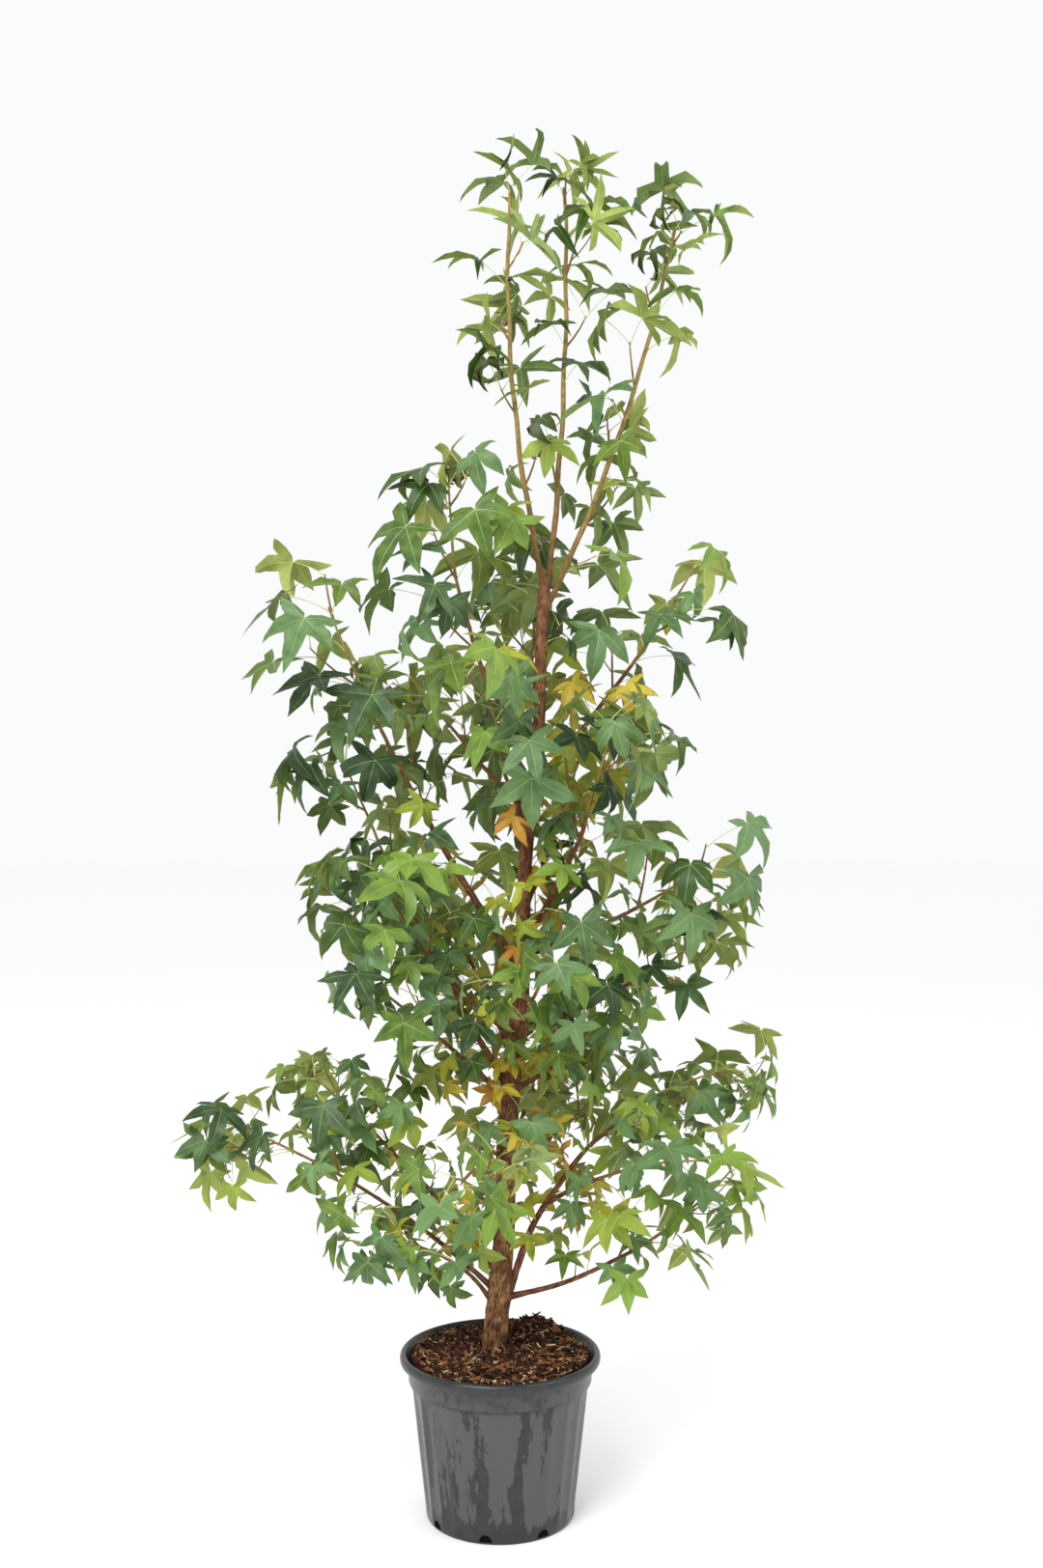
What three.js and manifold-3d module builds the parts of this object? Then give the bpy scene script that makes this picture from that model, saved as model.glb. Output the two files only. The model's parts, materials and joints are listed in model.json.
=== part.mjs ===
// A young sweetgum with three leaders and feathered boughs, standing in a round nursery pot.
// Lengths are in millimetres. +Z is up, +X is the right-hand side of the tree seen from its front (-Y),
// and the origin is the centre of the pot's flat underside.
//
// Each limb is one arc that leaves the trunk at a named height. Its lower part is a bough of its own;
// the rest is the stem of a mass of leaves, which starts a hair's breadth beyond the bough's tip.
import * as THREE from "three";
import { mergeVertices } from "three/addons/utils/BufferGeometryUtils.js";
import Module from "manifold-3d";

const wasm = await Module();
wasm.setup();

const { degToRad: radians, lerp, mapLinear, smoothstep } = THREE.MathUtils;

// ---------------------------------------------------------------- driving dimensions

const GAP = 0.3; // clearance between pieces that touch on the real plant

const POT = {
  height: 330,
  rimRadius: 202.5,
  rimDepth: 22, // the rolled lip
  collarRadius: 184.5,
  collarDepth: 36, // the plain band under the lip
  bodyRadius: 179, // right under the collar
  footRadius: 149,
  wall: 3,
  floor: 4,
  facets: 32,
  drains: 8,
  drainWidth: 24,
  drainHeight: 16,
  drainTurn: radians(11.5), // of all of them round the pot
  round: 4, // the lip's rounding
  footRound: 3,
  flange: 1.5, // how much the collar widens up to the lip
  lipWidth: 14.5, // of the lip's flat top
};

const SOIL = {
  level: 322, // at the wall
  heap: 6, // how much higher the bark mulch is around the trunk
  heapRun: 90, // from the wall to the heap's full height
  bank: 27, // how much it is banked up at one place near the wall
  bankX: 80,
  bankY: 118,
  bankReach: 75, // from the middle of the bank to its edge
  lumps: 3.5,
  lumpX: 17,
  lumpY: 21,
  rings: 5,
};

const TRUNK = {
  x: -13,
  y: 30,
  ground: 310,
  fork: 1890,
  lean: radians(3.9), // towards +X
  sway: 4,
  swayWave: 520,
  swayFrom: 1440,
  facets: 12,
  rings: 15,
  crowding: 1.25, // rings stand closer towards the foot
};

// Height above the ground, and the radius there.
const TRUNK_TAPER = [
  [0, 26],
  [25, 23.8],
  [110, 22],
  [700, 18.5],
  [900, 14],
  [1430, 12],
  [1550, 12],
  [1580, 13.5],
];
const FLARE = { depth: 0.1, ridges: 5, height: 60 }; // the root flare's ridges and how high they reach

const BUD_STEP = 36; // distance between two buds
const LEAF_EVERY = 2; // of the buds, one in this many carries a leaf
const TWIG_EVERY = 4; // and one in this many a side twig
const FIRST_BUD = 12; // from the start of the leafy part
const TIP_ROOM = 26; // the last stretch of a shoot, where the leaves at its tip stand
const TIP_SPACE = 7; // between those leaves
const TIP_BUD = 90; // the number their dice start from
const TURN = radians(137.5); // from one bud to the next, round the stem
const STEM = { tipRadius: 1.8, taper: 0.8, facets: 4, boughFacets: 5, ringStep: 95 };
const WAVE = { depth: 4, length: 190 }; // the limbs' slight sideways waves
const TWIG = {
  rootRadius: 2.6,
  tipRadius: 1.7,
  facets: 3,
  up: 0.15, // how much its way out leans upwards
  shorter: 0.5, // at the limb's tip
  lengths: [0.7, 1.3], // shortest and longest
  bend: 0.3, // radians it turns up by on its way
  steepest: 1.5,
  tips: 2, // leaves at its tip
};
const LIMB_TIPS = 3; // leaves at a limb's tip
const CLEAR = 0.5; // at least this far from other masses, limbs and leaves
const OWN_SPACE = 40; // how much nearer to another limb a leaf may stand than to its own
const TRACE_POINTS = 24;

// Leaf length from its petiole to its middle tip, by height above the ground.
const LEAF_LENGTH = [
  [0, 84],
  [600, 96],
  [1100, 120],
  [1500, 114],
  [2300, 92],
];
// Shares of the leaf's length: thickness, hang of the lobes' tips, and the notch where the petiole starts.
const LEAF = { thickness: 0.032, arch: 0.1, notchDepth: 0.08, notchHalf: 0.045, sizes: [0.75, 1.2] };
const PETIOLE = {
  along: 0.45, // its direction: so much along the twig, away from it, and up
  out: 0.8,
  up: 0.3,
  lengths: [0.5, 0.9], // shares of the leaf's length, to its middle
  sunk: 0.6, // how far its root lies beyond the middle of the twig
};
// How a blade hangs, in degrees: it points away from the trunk, as much as its petiole does, and it droops
// most on the lower boughs and least above the heights given.
const HANG = {
  petiole: 0.9,
  turns: [-35, 35],
  droop: 34,
  highDroop: 5,
  moreDroop: [0, 42],
  heights: [1900, 2500],
  tilts: [-30, 30],
};
const MEETING = { behind: 0.2, beside: 0.7 }; // cosines that a petiole keeps to its blade
const LEAF_ATTEMPTS = 9;

// The outline of the five-lobed leaf: angle from its middle tip, distance from its centre.
const LOBES = [
  [0, 1],
  [24, 0.42],
  [60, 0.92],
  [88, 0.42],
  [120, 0.62],
];

// The limbs. from: height of the root on the trunk, or, on a parent limb, its place as a share of that
// limb's length; out: the root's distance from the trunk's axis; turn: azimuth in degrees;
// rise: elevation in degrees at the root and at the tip; radius: at the root;
// bare: share of the length without leaves; twigs: length of the side twigs as a share of the limb's.
const LIMBS = {
  leader_left: {
    from: 1889, out: 6.8, turn: 200, rise: [76, 94],
    length: 785, radius: 6.2, bare: 0.13, twigs: 0.12,
  },
  leader_middle: {
    from: 1889, out: 6.8, turn: 20, rise: [83, 92],
    length: 790, radius: 6.6, bare: 0.12, twigs: 0.15,
  },
  leader_right: {
    from: 1815, turn: -15, rise: [62, 79],
    length: 805, radius: 6.5, bare: 0.14, twigs: 0.15,
  },
  left_1: { from: 1516, turn: 205, rise: [50, 92], length: 596, radius: 7.5, bare: 0.3, twigs: 0.25 },
  left_2: { from: 1095, turn: 187, rise: [55, 69], length: 830, radius: 9, bare: 0.34, twigs: 0.26 },
  left_3: { from: 1408, turn: 150, rise: [41, 49], length: 410, radius: 6, bare: 0.3, twigs: 0.35 },
  left_4: { from: 849, turn: 168, rise: [57, 68], length: 760, radius: 8, bare: 0.36, twigs: 0.28 },
  left_5: { from: 960, turn: 196, rise: [34, 66], length: 470, radius: 6.5, bare: 0.35, twigs: 0.3 },
  left_6: { from: 829, turn: 205, rise: [43, 38], length: 433, radius: 6.5, bare: 0.38, twigs: 0.34 },
  left_7: { from: 468, turn: 172, rise: [52, 40], length: 560, radius: 7.5, bare: 0.44, twigs: 0.3 },
  left_8: { from: 434, turn: 196, rise: [46, 24], length: 680, radius: 6, bare: 0.5, twigs: 0.24 },
  left_9: { from: 400, turn: 208, rise: [62, 2], length: 345, radius: 5.5, bare: 0.42, twigs: 0.45 },
  right_1: { from: 424, turn: -10, rise: [12, 50], length: 560, radius: 6.5, bare: 0.32, twigs: 0.3 },
  right_2: {
    from: 352, out: 17, turn: 16, rise: [84, 8],
    length: 770, radius: 9.5, bare: 0.48, twigs: 0.26,
  },
  right_3: {
    parent: "right_2", from: 0.36, turn: -22, rise: [34, 4],
    length: 370, radius: 5, bare: 0.4, twigs: 0.35,
  },
  right_4: { from: 721, turn: 35, rise: [5, 46], length: 321, radius: 6, bare: 0.35, twigs: 0.5 },
  right_5: { from: 849, turn: -28, rise: [26, 58], length: 330, radius: 6, bare: 0.36, twigs: 0.5 },
  right_6: { from: 986, turn: 18, rise: [9, 34], length: 455, radius: 7, bare: 0.42, twigs: 0.32 },
  right_7: { from: 1124, turn: -8, rise: [18, 36], length: 425, radius: 7, bare: 0.4, twigs: 0.32 },
  right_8: { from: 1160, turn: -48, rise: [44, 78], length: 510, radius: 8.5, bare: 0.34, twigs: 0.34 },
  right_9: { from: 1473, turn: 10, rise: [46, 60], length: 560, radius: 7, bare: 0.3, twigs: 0.24 },
  front_1: { from: 560, turn: -108, rise: [42, 20], length: 360, radius: 6.5, bare: 0.34, twigs: 0.45 },
  front_2: { from: 905, turn: -78, rise: [45, 40], length: 380, radius: 6.5, bare: 0.34, twigs: 0.45 },
  front_3: { from: 1345, turn: -112, rise: [48, 62], length: 380, radius: 6.5, bare: 0.32, twigs: 0.42 },
  back_1: { from: 640, turn: 78, rise: [38, 22], length: 480, radius: 7, bare: 0.36, twigs: 0.4 },
  back_2: { from: 900, turn: 118, rise: [45, 38], length: 500, radius: 7, bare: 0.36, twigs: 0.38 },
  back_3: { from: 1215, turn: 62, rise: [48, 52], length: 480, radius: 7, bare: 0.34, twigs: 0.38 },
  back_4: { from: 1560, turn: 95, rise: [52, 70], length: 400, radius: 6, bare: 0.32, twigs: 0.35 },
};

// ---------------------------------------------------------------- small tools

const UP = new THREE.Vector3(0, 0, 1);
const between = ([low, high], share) => lerp(low, high, share);

// A repeatable number from 0 to 1 for each limb, twig, bud and purpose.
const HASH = { limb: 12.9898, twig: 78.233, bud: 37.719, purpose: 4.581, seed: 3.7, scale: 43758.5453 };
const DICE = { reach: 1, turn: 2, droop: 3, tilt: 4, size: 5, twigTurn: 6, twigLength: 7, start: 9 };
const DICE_PER_ATTEMPT = 10;
function roll(limb, twig, bud, purpose) {
  const sum = limb * HASH.limb + twig * HASH.twig + bud * HASH.bud + purpose * HASH.purpose + HASH.seed;
  const x = Math.sin(sum) * HASH.scale;
  return x - Math.floor(x);
}

function lookUp(table, at) {
  const next = table.findIndex(([key]) => key >= at);
  if (next < 0) return table.at(-1)[1];
  if (next === 0) return table[0][1];
  const [[a, low], [b, high]] = table.slice(next - 1, next + 1);
  return mapLinear(at, a, b, low, high);
}

function heading(turn, rise) {
  const level = Math.cos(rise);
  return new THREE.Vector3(level * Math.cos(turn), level * Math.sin(turn), Math.sin(rise));
}

// A closed three.js geometry as a solid, and back.
function solidOf(geometry) {
  const bare = geometry.clone();
  bare.deleteAttribute("normal");
  bare.deleteAttribute("uv");
  const merged = mergeVertices(bare, 1e-4);
  return new wasm.Manifold(
    new wasm.Mesh({
      numProp: 3,
      vertProperties: new Float32Array(merged.attributes.position.array),
      triVerts: new Uint32Array(merged.index.array),
    }),
  );
}

function geometryOf(solid) {
  const { vertProperties, triVerts } = solid.getMesh();
  return new THREE.BufferGeometry()
    .setAttribute("position", new THREE.BufferAttribute(vertProperties, 3))
    .setIndex(new THREE.BufferAttribute(triVerts, 1))
    .toNonIndexed();
}

// The outer skin of the largest body: sealed hollows are filled and loose scraps dropped.
function mainBody(solid) {
  const bodies = solid.decompose();
  return bodies.reduce((best, body) => (body.volume() > best.volume() ? body : best));
}

function moveVertices(geometry, place) {
  const position = geometry.attributes.position;
  const v = new THREE.Vector3();
  for (let i = 0; i < position.count; i++) {
    v.copy(place(v.fromBufferAttribute(position, i)));
    position.setXYZ(i, v.x, v.y, v.z);
  }
  return geometry;
}

// ---------------------------------------------------------------- pot and mulch

function potGeometry() {
  const { height, rimRadius, rimDepth, collarRadius, collarDepth, bodyRadius, footRadius, wall, floor } = POT;
  const lipFoot = height - rimDepth;
  const collarFoot = lipFoot - collarDepth;
  const profile = [
    [0, 0],
    [footRadius - POT.footRound, 0],
    [footRadius, POT.footRound],
    [bodyRadius, collarFoot - POT.footRound],
    [collarRadius, collarFoot],
    [collarRadius + POT.flange, lipFoot],
    [rimRadius, lipFoot + POT.flange],
    [rimRadius, height - POT.round],
    [rimRadius - POT.round, height],
    [rimRadius - POT.lipWidth, height],
    [collarRadius - wall, height - POT.round],
    [footRadius - wall, floor],
    [0, floor],
  ];
  const points = profile.map(([r, z]) => new THREE.Vector2(r, z));
  return new THREE.LatheGeometry(points, POT.facets).rotateX(Math.PI / 2);
}

// The radius of the pot's inner wall at a height.
function innerRadius(z) {
  const top = POT.collarRadius - POT.wall;
  return mapLinear(z, POT.floor, POT.height - POT.round, POT.footRadius - POT.wall, top);
}

function potSolid() {
  let pot = solidOf(potGeometry());
  for (let i = 0; i < POT.drains; i++) {
    const angle = ((i + 0.5) / POT.drains) * 2 * Math.PI + POT.drainTurn;
    const notch = new THREE.BoxGeometry(4 * POT.wall, POT.drainWidth, POT.drainHeight)
      .translate(POT.footRadius, 0, POT.floor + GAP + POT.drainHeight / 2)
      .rotateZ(angle);
    pot = pot.subtract(solidOf(notch));
  }
  return pot;
}

function mulchLevel(x, y) {
  const r = Math.hypot(x, y);
  const heap = SOIL.heap * smoothstep(innerRadius(SOIL.level) - r, 0, SOIL.heapRun);
  const fromBank = Math.hypot(x - SOIL.bankX, y - SOIL.bankY);
  const bank = SOIL.bank * smoothstep(SOIL.bankReach - fromBank, 0, SOIL.bankReach);
  const lump = SOIL.lumps * Math.sin(x / SOIL.lumpX + 1) * Math.cos(y / SOIL.lumpY);
  return SOIL.level + heap + bank + lump;
}

function mulchSolid(trunkFoot) {
  const rim = innerRadius(SOIL.level) - GAP;
  const profile = [
    [0, POT.floor + GAP],
    [innerRadius(POT.floor) - 2 * GAP, POT.floor + GAP],
    [rim, SOIL.level],
  ];
  for (let ring = SOIL.rings - 1; ring >= 0; ring--) {
    profile.push([(rim * ring) / SOIL.rings, SOIL.level + 1]);
  }
  const points = profile.map(([r, z]) => new THREE.Vector2(r, z));
  const body = new THREE.LatheGeometry(points, POT.facets).rotateX(Math.PI / 2);
  moveVertices(body, (v) => (v.z > SOIL.level ? v.setZ(mulchLevel(v.x, v.y)) : v));
  return mainBody(solidOf(body).subtract(trunkFoot));
}

// ---------------------------------------------------------------- trunk and limbs

function trunkAxis(z) {
  const sway = TRUNK.sway * Math.sin((2 * Math.PI * (z - TRUNK.swayFrom)) / TRUNK.swayWave);
  return new THREE.Vector3(TRUNK.x + (z - TRUNK.ground) * Math.tan(TRUNK.lean) + sway, TRUNK.y, z);
}

// The trunk from its flat cut at the ground to its fork, or a grown copy of it, which cuts what meets it.
function trunkSolid(extra = 0) {
  const { facets, rings, ground, fork } = TRUNK;
  const column = new THREE.CylinderGeometry(1, 1, 1, facets, rings).rotateX(Math.PI / 2);
  moveVertices(column, (v) => {
    const share = v.z + 0.5;
    const rise = (fork - ground) * share ** TRUNK.crowding;
    const fade = FLARE.depth * Math.exp(-rise / FLARE.height);
    const ridge = 1 + fade * Math.cos(FLARE.ridges * Math.atan2(v.y, v.x));
    const radius = lookUp(TRUNK_TAPER, rise) * ridge + extra;
    const end = Math.trunc(2 * v.z + Math.sign(v.z) * 1e-3) * extra; // -extra at the foot, extra at the fork
    const axis = trunkAxis(ground + rise);
    return v.multiplyScalar(radius).setZ(0).add(axis.setZ(axis.z + end));
  });
  return solidOf(column);
}

// An arc that climbs at one angle at its root and another at its tip, in the upright plane of its azimuth.
class Arc extends THREE.Curve {
  constructor(root, turn, rise, tipRise, length, wave) {
    super();
    Object.assign(this, { root, turn, rise, tipRise, length, wave });
    this.across = new THREE.Vector3(-Math.sin(turn), Math.cos(turn), 0);
  }

  riseAt(t) {
    return this.rise + (this.tipRise - this.rise) * t;
  }

  getPoint(t, target = new THREE.Vector3()) {
    const half = ((this.tipRise - this.rise) * t) / 2;
    const chord = this.length * t * (half ? Math.sin(half) / half : 1);
    const phase = (2 * Math.PI * this.length * t) / WAVE.length + this.turn;
    const swing = this.wave * (Math.sin(phase) - Math.sin(this.turn));
    return target
      .copy(this.root)
      .addScaledVector(heading(this.turn, this.rise + half), chord)
      .addScaledVector(this.across, swing);
  }

  getTangent(t, target = new THREE.Vector3()) {
    const phase = (2 * Math.PI * this.length * t) / WAVE.length + this.turn;
    const slope = ((2 * Math.PI * this.wave) / WAVE.length) * Math.cos(phase);
    return target.copy(heading(this.turn, this.riseAt(t))).addScaledVector(this.across, slope).normalize();
  }

  // A direction square to the arc, turned round it by an angle.
  sideways(t, angle) {
    const tangent = this.getTangent(t);
    const over = new THREE.Vector3().crossVectors(tangent, this.across).normalize();
    return this.across.clone().multiplyScalar(Math.cos(angle)).addScaledVector(over, Math.sin(angle));
  }
}

// A tapering rod along an arc: a cylinder whose rings are moved to the given stations on the arc.
function rodSolid(arc, stations, radiusAt, facets, extra = 0) {
  const rings = stations.length - 1;
  const rod = new THREE.CylinderGeometry(1, 1, 1, facets, rings);
  moveVertices(rod, (v) => {
    const t = stations[Math.round((v.y + 0.5) * rings)];
    const radius = radiusAt(t) + extra;
    const tangent = arc.getTangent(t);
    const over = new THREE.Vector3().crossVectors(arc.across, tangent).normalize();
    const side = new THREE.Vector3().crossVectors(tangent, over);
    const { x, z } = v;
    return arc.getPoint(t, v).addScaledVector(side, x * radius).addScaledVector(over, z * radius);
  });
  return solidOf(rod);
}

// Radius along a limb, from its root to its tip.
const limbRadius = (limb) => (t) => lerp(limb.radius, STEM.tipRadius, t ** STEM.taper);

function limbArc(limb, arcs) {
  const turn = radians(limb.turn);
  let root;
  if (limb.parent) root = arcs.get(limb.parent).getPoint(limb.from);
  else root = trunkAxis(limb.from).addScaledVector(heading(turn, 0), limb.out ?? 0);
  return new Arc(root, turn, radians(limb.rise[0]), radians(limb.rise[1]), limb.length, WAVE.depth);
}

// ---------------------------------------------------------------- leaves

// One leaf with its petiole, as a flat lens of two fans: its rim is moved to the outline of the lobes, and
// at one point to the petiole's root, inside the twig. The fans' middles stand apart, across the blade.
function leafSolid({ bud, centre, along, across, up, length }) {
  const petiole = bud.clone().sub(centre).normalize();
  const lobe = (angle, distance) => {
    const a = radians(angle);
    return centre
      .clone()
      .addScaledVector(along, length * distance * Math.cos(a))
      .addScaledVector(across, length * distance * Math.sin(a))
      .addScaledVector(up, -LEAF.arch * length * distance ** 2);
  };
  const notch = (side) =>
    centre
      .clone()
      .addScaledVector(petiole, LEAF.notchDepth * length)
      .addScaledVector(across, LEAF.notchHalf * length * side);
  const left = LOBES.map(([angle, distance]) => lobe(angle, distance));
  const right = LOBES.slice(1).map(([angle, distance]) => lobe(-angle, distance));
  const root = bud.clone().addScaledVector(petiole, PETIOLE.sunk);
  const rim = [...left, notch(1), root, notch(-1), ...right.reverse()];
  const middle = new THREE.Vector3()
    .crossVectors(across, petiole)
    .normalize()
    .add(up)
    .multiplyScalar((LEAF.thickness * length) / 2);
  const lens = new THREE.LatheGeometry(
    [new THREE.Vector2(0, -1), new THREE.Vector2(1, 0), new THREE.Vector2(0, 1)],
    rim.length,
  );
  moveVertices(lens, (v) => {
    const face = Math.round(v.y); // -1 under the blade, 1 above it, 0 on the rim
    if (face) return v.copy(centre).addScaledVector(middle, face);
    const share = (Math.atan2(v.x, v.z) / (2 * Math.PI) + 1) % 1;
    return v.copy(rim[Math.round(share * rim.length) % rim.length]);
  });
  return solidOf(lens);
}

// A side twig, shorter towards the limb's tip.
function twigAt(limb, limbIndex, t, bud, share) {
  const arc = arcs.get(limb.name);
  const dice = (purpose) => roll(limbIndex, 0, bud, purpose);
  const out = arc.sideways(t, TURN * bud + 2 * Math.PI * dice(DICE.twigTurn));
  const way = arc.getTangent(t).add(out).addScaledVector(UP, TWIG.up).normalize();
  const usual = limb.length * limb.twigs * (1 - TWIG.shorter * share);
  const length = usual * between(TWIG.lengths, dice(DICE.twigLength));
  const rise = Math.asin(way.z);
  const tipRise = Math.min(rise + TWIG.bend, TWIG.steepest);
  return new Arc(arc.getPoint(t), Math.atan2(way.y, way.x), rise, tipRise, length, 0);
}

// Where a bud's leaf stands: its petiole leaves the twig outwards and up, and its blade hangs outwards.
function leafAt(arc, t, limb, twig, bud, attempt) {
  const dice = (purpose) => roll(limb, twig, bud, purpose + DICE_PER_ATTEMPT * attempt);
  const from = arc.getPoint(t);
  const length = lookUp(LEAF_LENGTH, from.z - TRUNK.ground) * between(LEAF.sizes, dice(DICE.size));
  const out = arc.sideways(t, TURN * bud + 2 * Math.PI * roll(limb, twig, 0, DICE.start));
  const petiole = arc.getTangent(t).multiplyScalar(PETIOLE.along).addScaledVector(out, PETIOLE.out);
  petiole.addScaledVector(UP, PETIOLE.up).normalize();
  const reach = length * between(PETIOLE.lengths, dice(DICE.reach));
  const centre = from.clone().addScaledVector(petiole, reach);
  const away = centre.clone().sub(trunkAxis(centre.z)).setZ(0).normalize();
  away.addScaledVector(petiole.clone().setZ(0).normalize(), HANG.petiole);
  const turn = Math.atan2(away.y, away.x) + radians(between(HANG.turns, dice(DICE.turn)));
  const high = smoothstep(from.z, ...HANG.heights);
  const droop = radians(lerp(HANG.droop, HANG.highDroop, high) + between(HANG.moreDroop, dice(DICE.droop)));
  const along = heading(turn, -droop);
  const flat = heading(turn, Math.PI / 2 - droop);
  const tilt = radians(between(HANG.tilts, dice(DICE.tilt)));
  const side = new THREE.Vector3().crossVectors(flat, along);
  const up = flat.multiplyScalar(Math.cos(tilt)).addScaledVector(side, Math.sin(tilt));
  return { bud: from, centre, along, up, across: new THREE.Vector3().crossVectors(up, along), length };
}

// A petiole meets its blade from behind or below, and not past its side lobes.
function isWellHung({ bud, centre, along, across }) {
  const petiole = bud.clone().sub(centre).normalize();
  return petiole.dot(along) < MEETING.behind && Math.abs(petiole.dot(across)) < MEETING.beside;
}

// ---------------------------------------------------------------- growing the tree

const limbs = Object.entries(LIMBS).map(([name, limb]) => ({ name, ...limb }));
const arcs = new Map();
for (const limb of limbs) {
  arcs.set(limb.name, limbArc(limb, arcs));
}

function touches(solid, others, gap) {
  const a = solid.boundingBox();
  return others.some((other) => {
    const b = other.boundingBox();
    const apart = [0, 1, 2].some((i) => a.min[i] > b.max[i] + gap || b.min[i] > a.max[i] + gap);
    return !apart && solid.minGap(other, 2 * gap) < gap;
  });
}

const trunk = trunkSolid();
const grownTrunk = trunkSolid(GAP);

// Boughs: each is cut where it meets the trunk, its parent limb, or a bough that was made before it.
const boughs = new Map();
const grownBoughs = new Map();
for (const limb of limbs) {
  const arc = arcs.get(limb.name);
  const rings = Math.max(2, Math.round((limb.length * limb.bare) / STEM.ringStep));
  const stations = Array.from({ length: rings + 1 }, (_, i) => (limb.bare * i) / rings);
  const rod = (extra) => rodSolid(arc, stations, limbRadius(limb), STEM.boughFacets, extra);
  let bough = rod(0).subtract(grownTrunk);
  for (const other of grownBoughs.values()) {
    bough = bough.subtract(other);
  }
  boughs.set(limb.name, mainBody(bough));
  grownBoughs.set(limb.name, rod(GAP));
}

// Buds along a shoot, from a first one: its places as shares of the shoot's length.
function budsAlong(length, first) {
  const count = Math.floor((length - first - TIP_ROOM) / BUD_STEP) + 1;
  return Array.from({ length: Math.max(count, 0) }, (_, i) => (first + i * BUD_STEP) / length);
}

// Stems: the leafy rest of each limb, with a ring wherever a leaf stands.
const stems = new Map();
const stemBuds = (limb) => budsAlong(limb.length, limb.length * limb.bare + FIRST_BUD);
for (const limb of limbs) {
  const leafy = stemBuds(limb).filter((_, bud) => bud % LEAF_EVERY === 0);
  const stations = [limb.bare + GAP / limb.length, ...leafy, 1];
  stems.set(limb.name, rodSolid(arcs.get(limb.name), stations, limbRadius(limb), STEM.facets));
}

// A mass's own space: nearer to its limb than to any other.
const traces = limbs.map((limb) => arcs.get(limb.name).getPoints(TRACE_POINTS));
function isOwnSpace(point, limbIndex) {
  const nearest = traces.map((trace) => Math.min(...trace.map((p) => p.distanceTo(point))));
  return nearest[limbIndex] < Math.min(...nearest.filter((_, i) => i !== limbIndex)) + OWN_SPACE;
}

// The foliage: side twigs and leaves are added to a stem one by one, where they are clear.
// A leaf that isn't clear is turned and tried again a few times, and then skipped.
function grow(limb, limbIndex, taken) {
  const arc = arcs.get(limb.name);
  const pieces = [stems.get(limb.name)];
  const others = [...taken, ...limbs.filter((l) => l !== limb).map((l) => stems.get(l.name))];
  const ownLeaves = [];
  const addLeaf = (onArc, t, twig, bud) => {
    for (let attempt = 0; attempt < LEAF_ATTEMPTS; attempt++) {
      const leaf = leafAt(onArc, t, limbIndex, twig, bud, attempt);
      if (!isWellHung(leaf) || !isOwnSpace(leaf.centre, limbIndex)) continue;
      const solid = leafSolid(leaf);
      if (touches(solid, others, CLEAR) || touches(solid, ownLeaves, CLEAR)) continue;
      ownLeaves.push(solid);
      pieces.push(solid);
      return;
    }
  };
  const addTips = (onArc, count, twig) => {
    for (let i = 0; i < count; i++) {
      addLeaf(onArc, 1 - (TIP_SPACE * (i + 0.5)) / onArc.length, twig, TIP_BUD + i);
    }
  };
  const buds = stemBuds(limb);
  buds.forEach((t, bud) => {
    if (bud % LEAF_EVERY === 0) addLeaf(arc, t, 0, bud);
    if (bud % TWIG_EVERY !== TWIG_EVERY / 2) return;
    const twig = twigAt(limb, limbIndex, t, bud, bud / buds.length);
    const leafy = budsAlong(twig.length, BUD_STEP).filter((_, i) => i % LEAF_EVERY === 1);
    const twigRadius = (s) => lerp(TWIG.rootRadius, TWIG.tipRadius, s);
    const solid = rodSolid(twig, [0, ...leafy, 1], twigRadius, TWIG.facets);
    if (touches(solid, others, CLEAR)) return;
    pieces.push(solid);
    leafy.forEach((s, i) => addLeaf(twig, s, bud + 1, LEAF_EVERY * (i + 1)));
    addTips(twig, TWIG.tips, bud + 1);
  });
  addTips(arc, LIMB_TIPS, 0);
  return mainBody(wasm.Manifold.union(pieces));
}

// ---------------------------------------------------------------- the scene graph

const FINISHES = {
  pot: { color: 0x24272a, roughness: 0.45, metalness: 0 },
  mulch: { color: 0x4a2c1c, roughness: 0.95, metalness: 0 },
  bark: { color: 0x6b4530, roughness: 0.9, metalness: 0 },
  leaf: { color: 0x3c6a42, roughness: 0.6, metalness: 0 },
};

const tree = new THREE.Group();
tree.name = "sweetgum_in_pot";

function addPiece(parent, name, solid, finish, origin = new THREE.Vector3()) {
  const geometry = geometryOf(solid).translate(-origin.x, -origin.y, -origin.z);
  const mesh = new THREE.Mesh(geometry, new THREE.MeshStandardMaterial(finish));
  mesh.name = name;
  mesh.position.copy(origin);
  parent.add(mesh);
}

const container = new THREE.Group();
tree.add(container);
addPiece(container, "pot", potSolid(), FINISHES.pot);
addPiece(container, "mulch", mulchSolid(grownTrunk), FINISHES.mulch);

const wood = new THREE.Group();
tree.add(wood);
addPiece(wood, "trunk", trunk, FINISHES.bark, trunkAxis(TRUNK.ground));
for (const limb of limbs) {
  const name = limb.name.startsWith("leader") ? limb.name : "bough_" + limb.name;
  addPiece(wood, name, boughs.get(limb.name), FINISHES.bark, arcs.get(limb.name).root);
}

const crown = new THREE.Group();
tree.add(crown);
const taken = [trunk, ...boughs.values()];
limbs.forEach((limb, i) => {
  const mass = grow(limb, i, taken);
  taken.push(mass);
  addPiece(crown, "foliage_" + limb.name, mass, FINISHES.leaf, arcs.get(limb.name).getPoint(limb.bare));
});

export default tree;
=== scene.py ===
# %% [markdown]
# # A young sweetgum in its nursery pot
# The frame is a plain, faceted tree: a pot, mulch, a trunk, boughs and masses of large leaves.
# This file dresses it. Each limb follows the same arc as in the frame, and twigs and leaves grow on from
# it by the same rule, carried on to finer twigs and to leaves of their real size.

import json
import math

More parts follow.
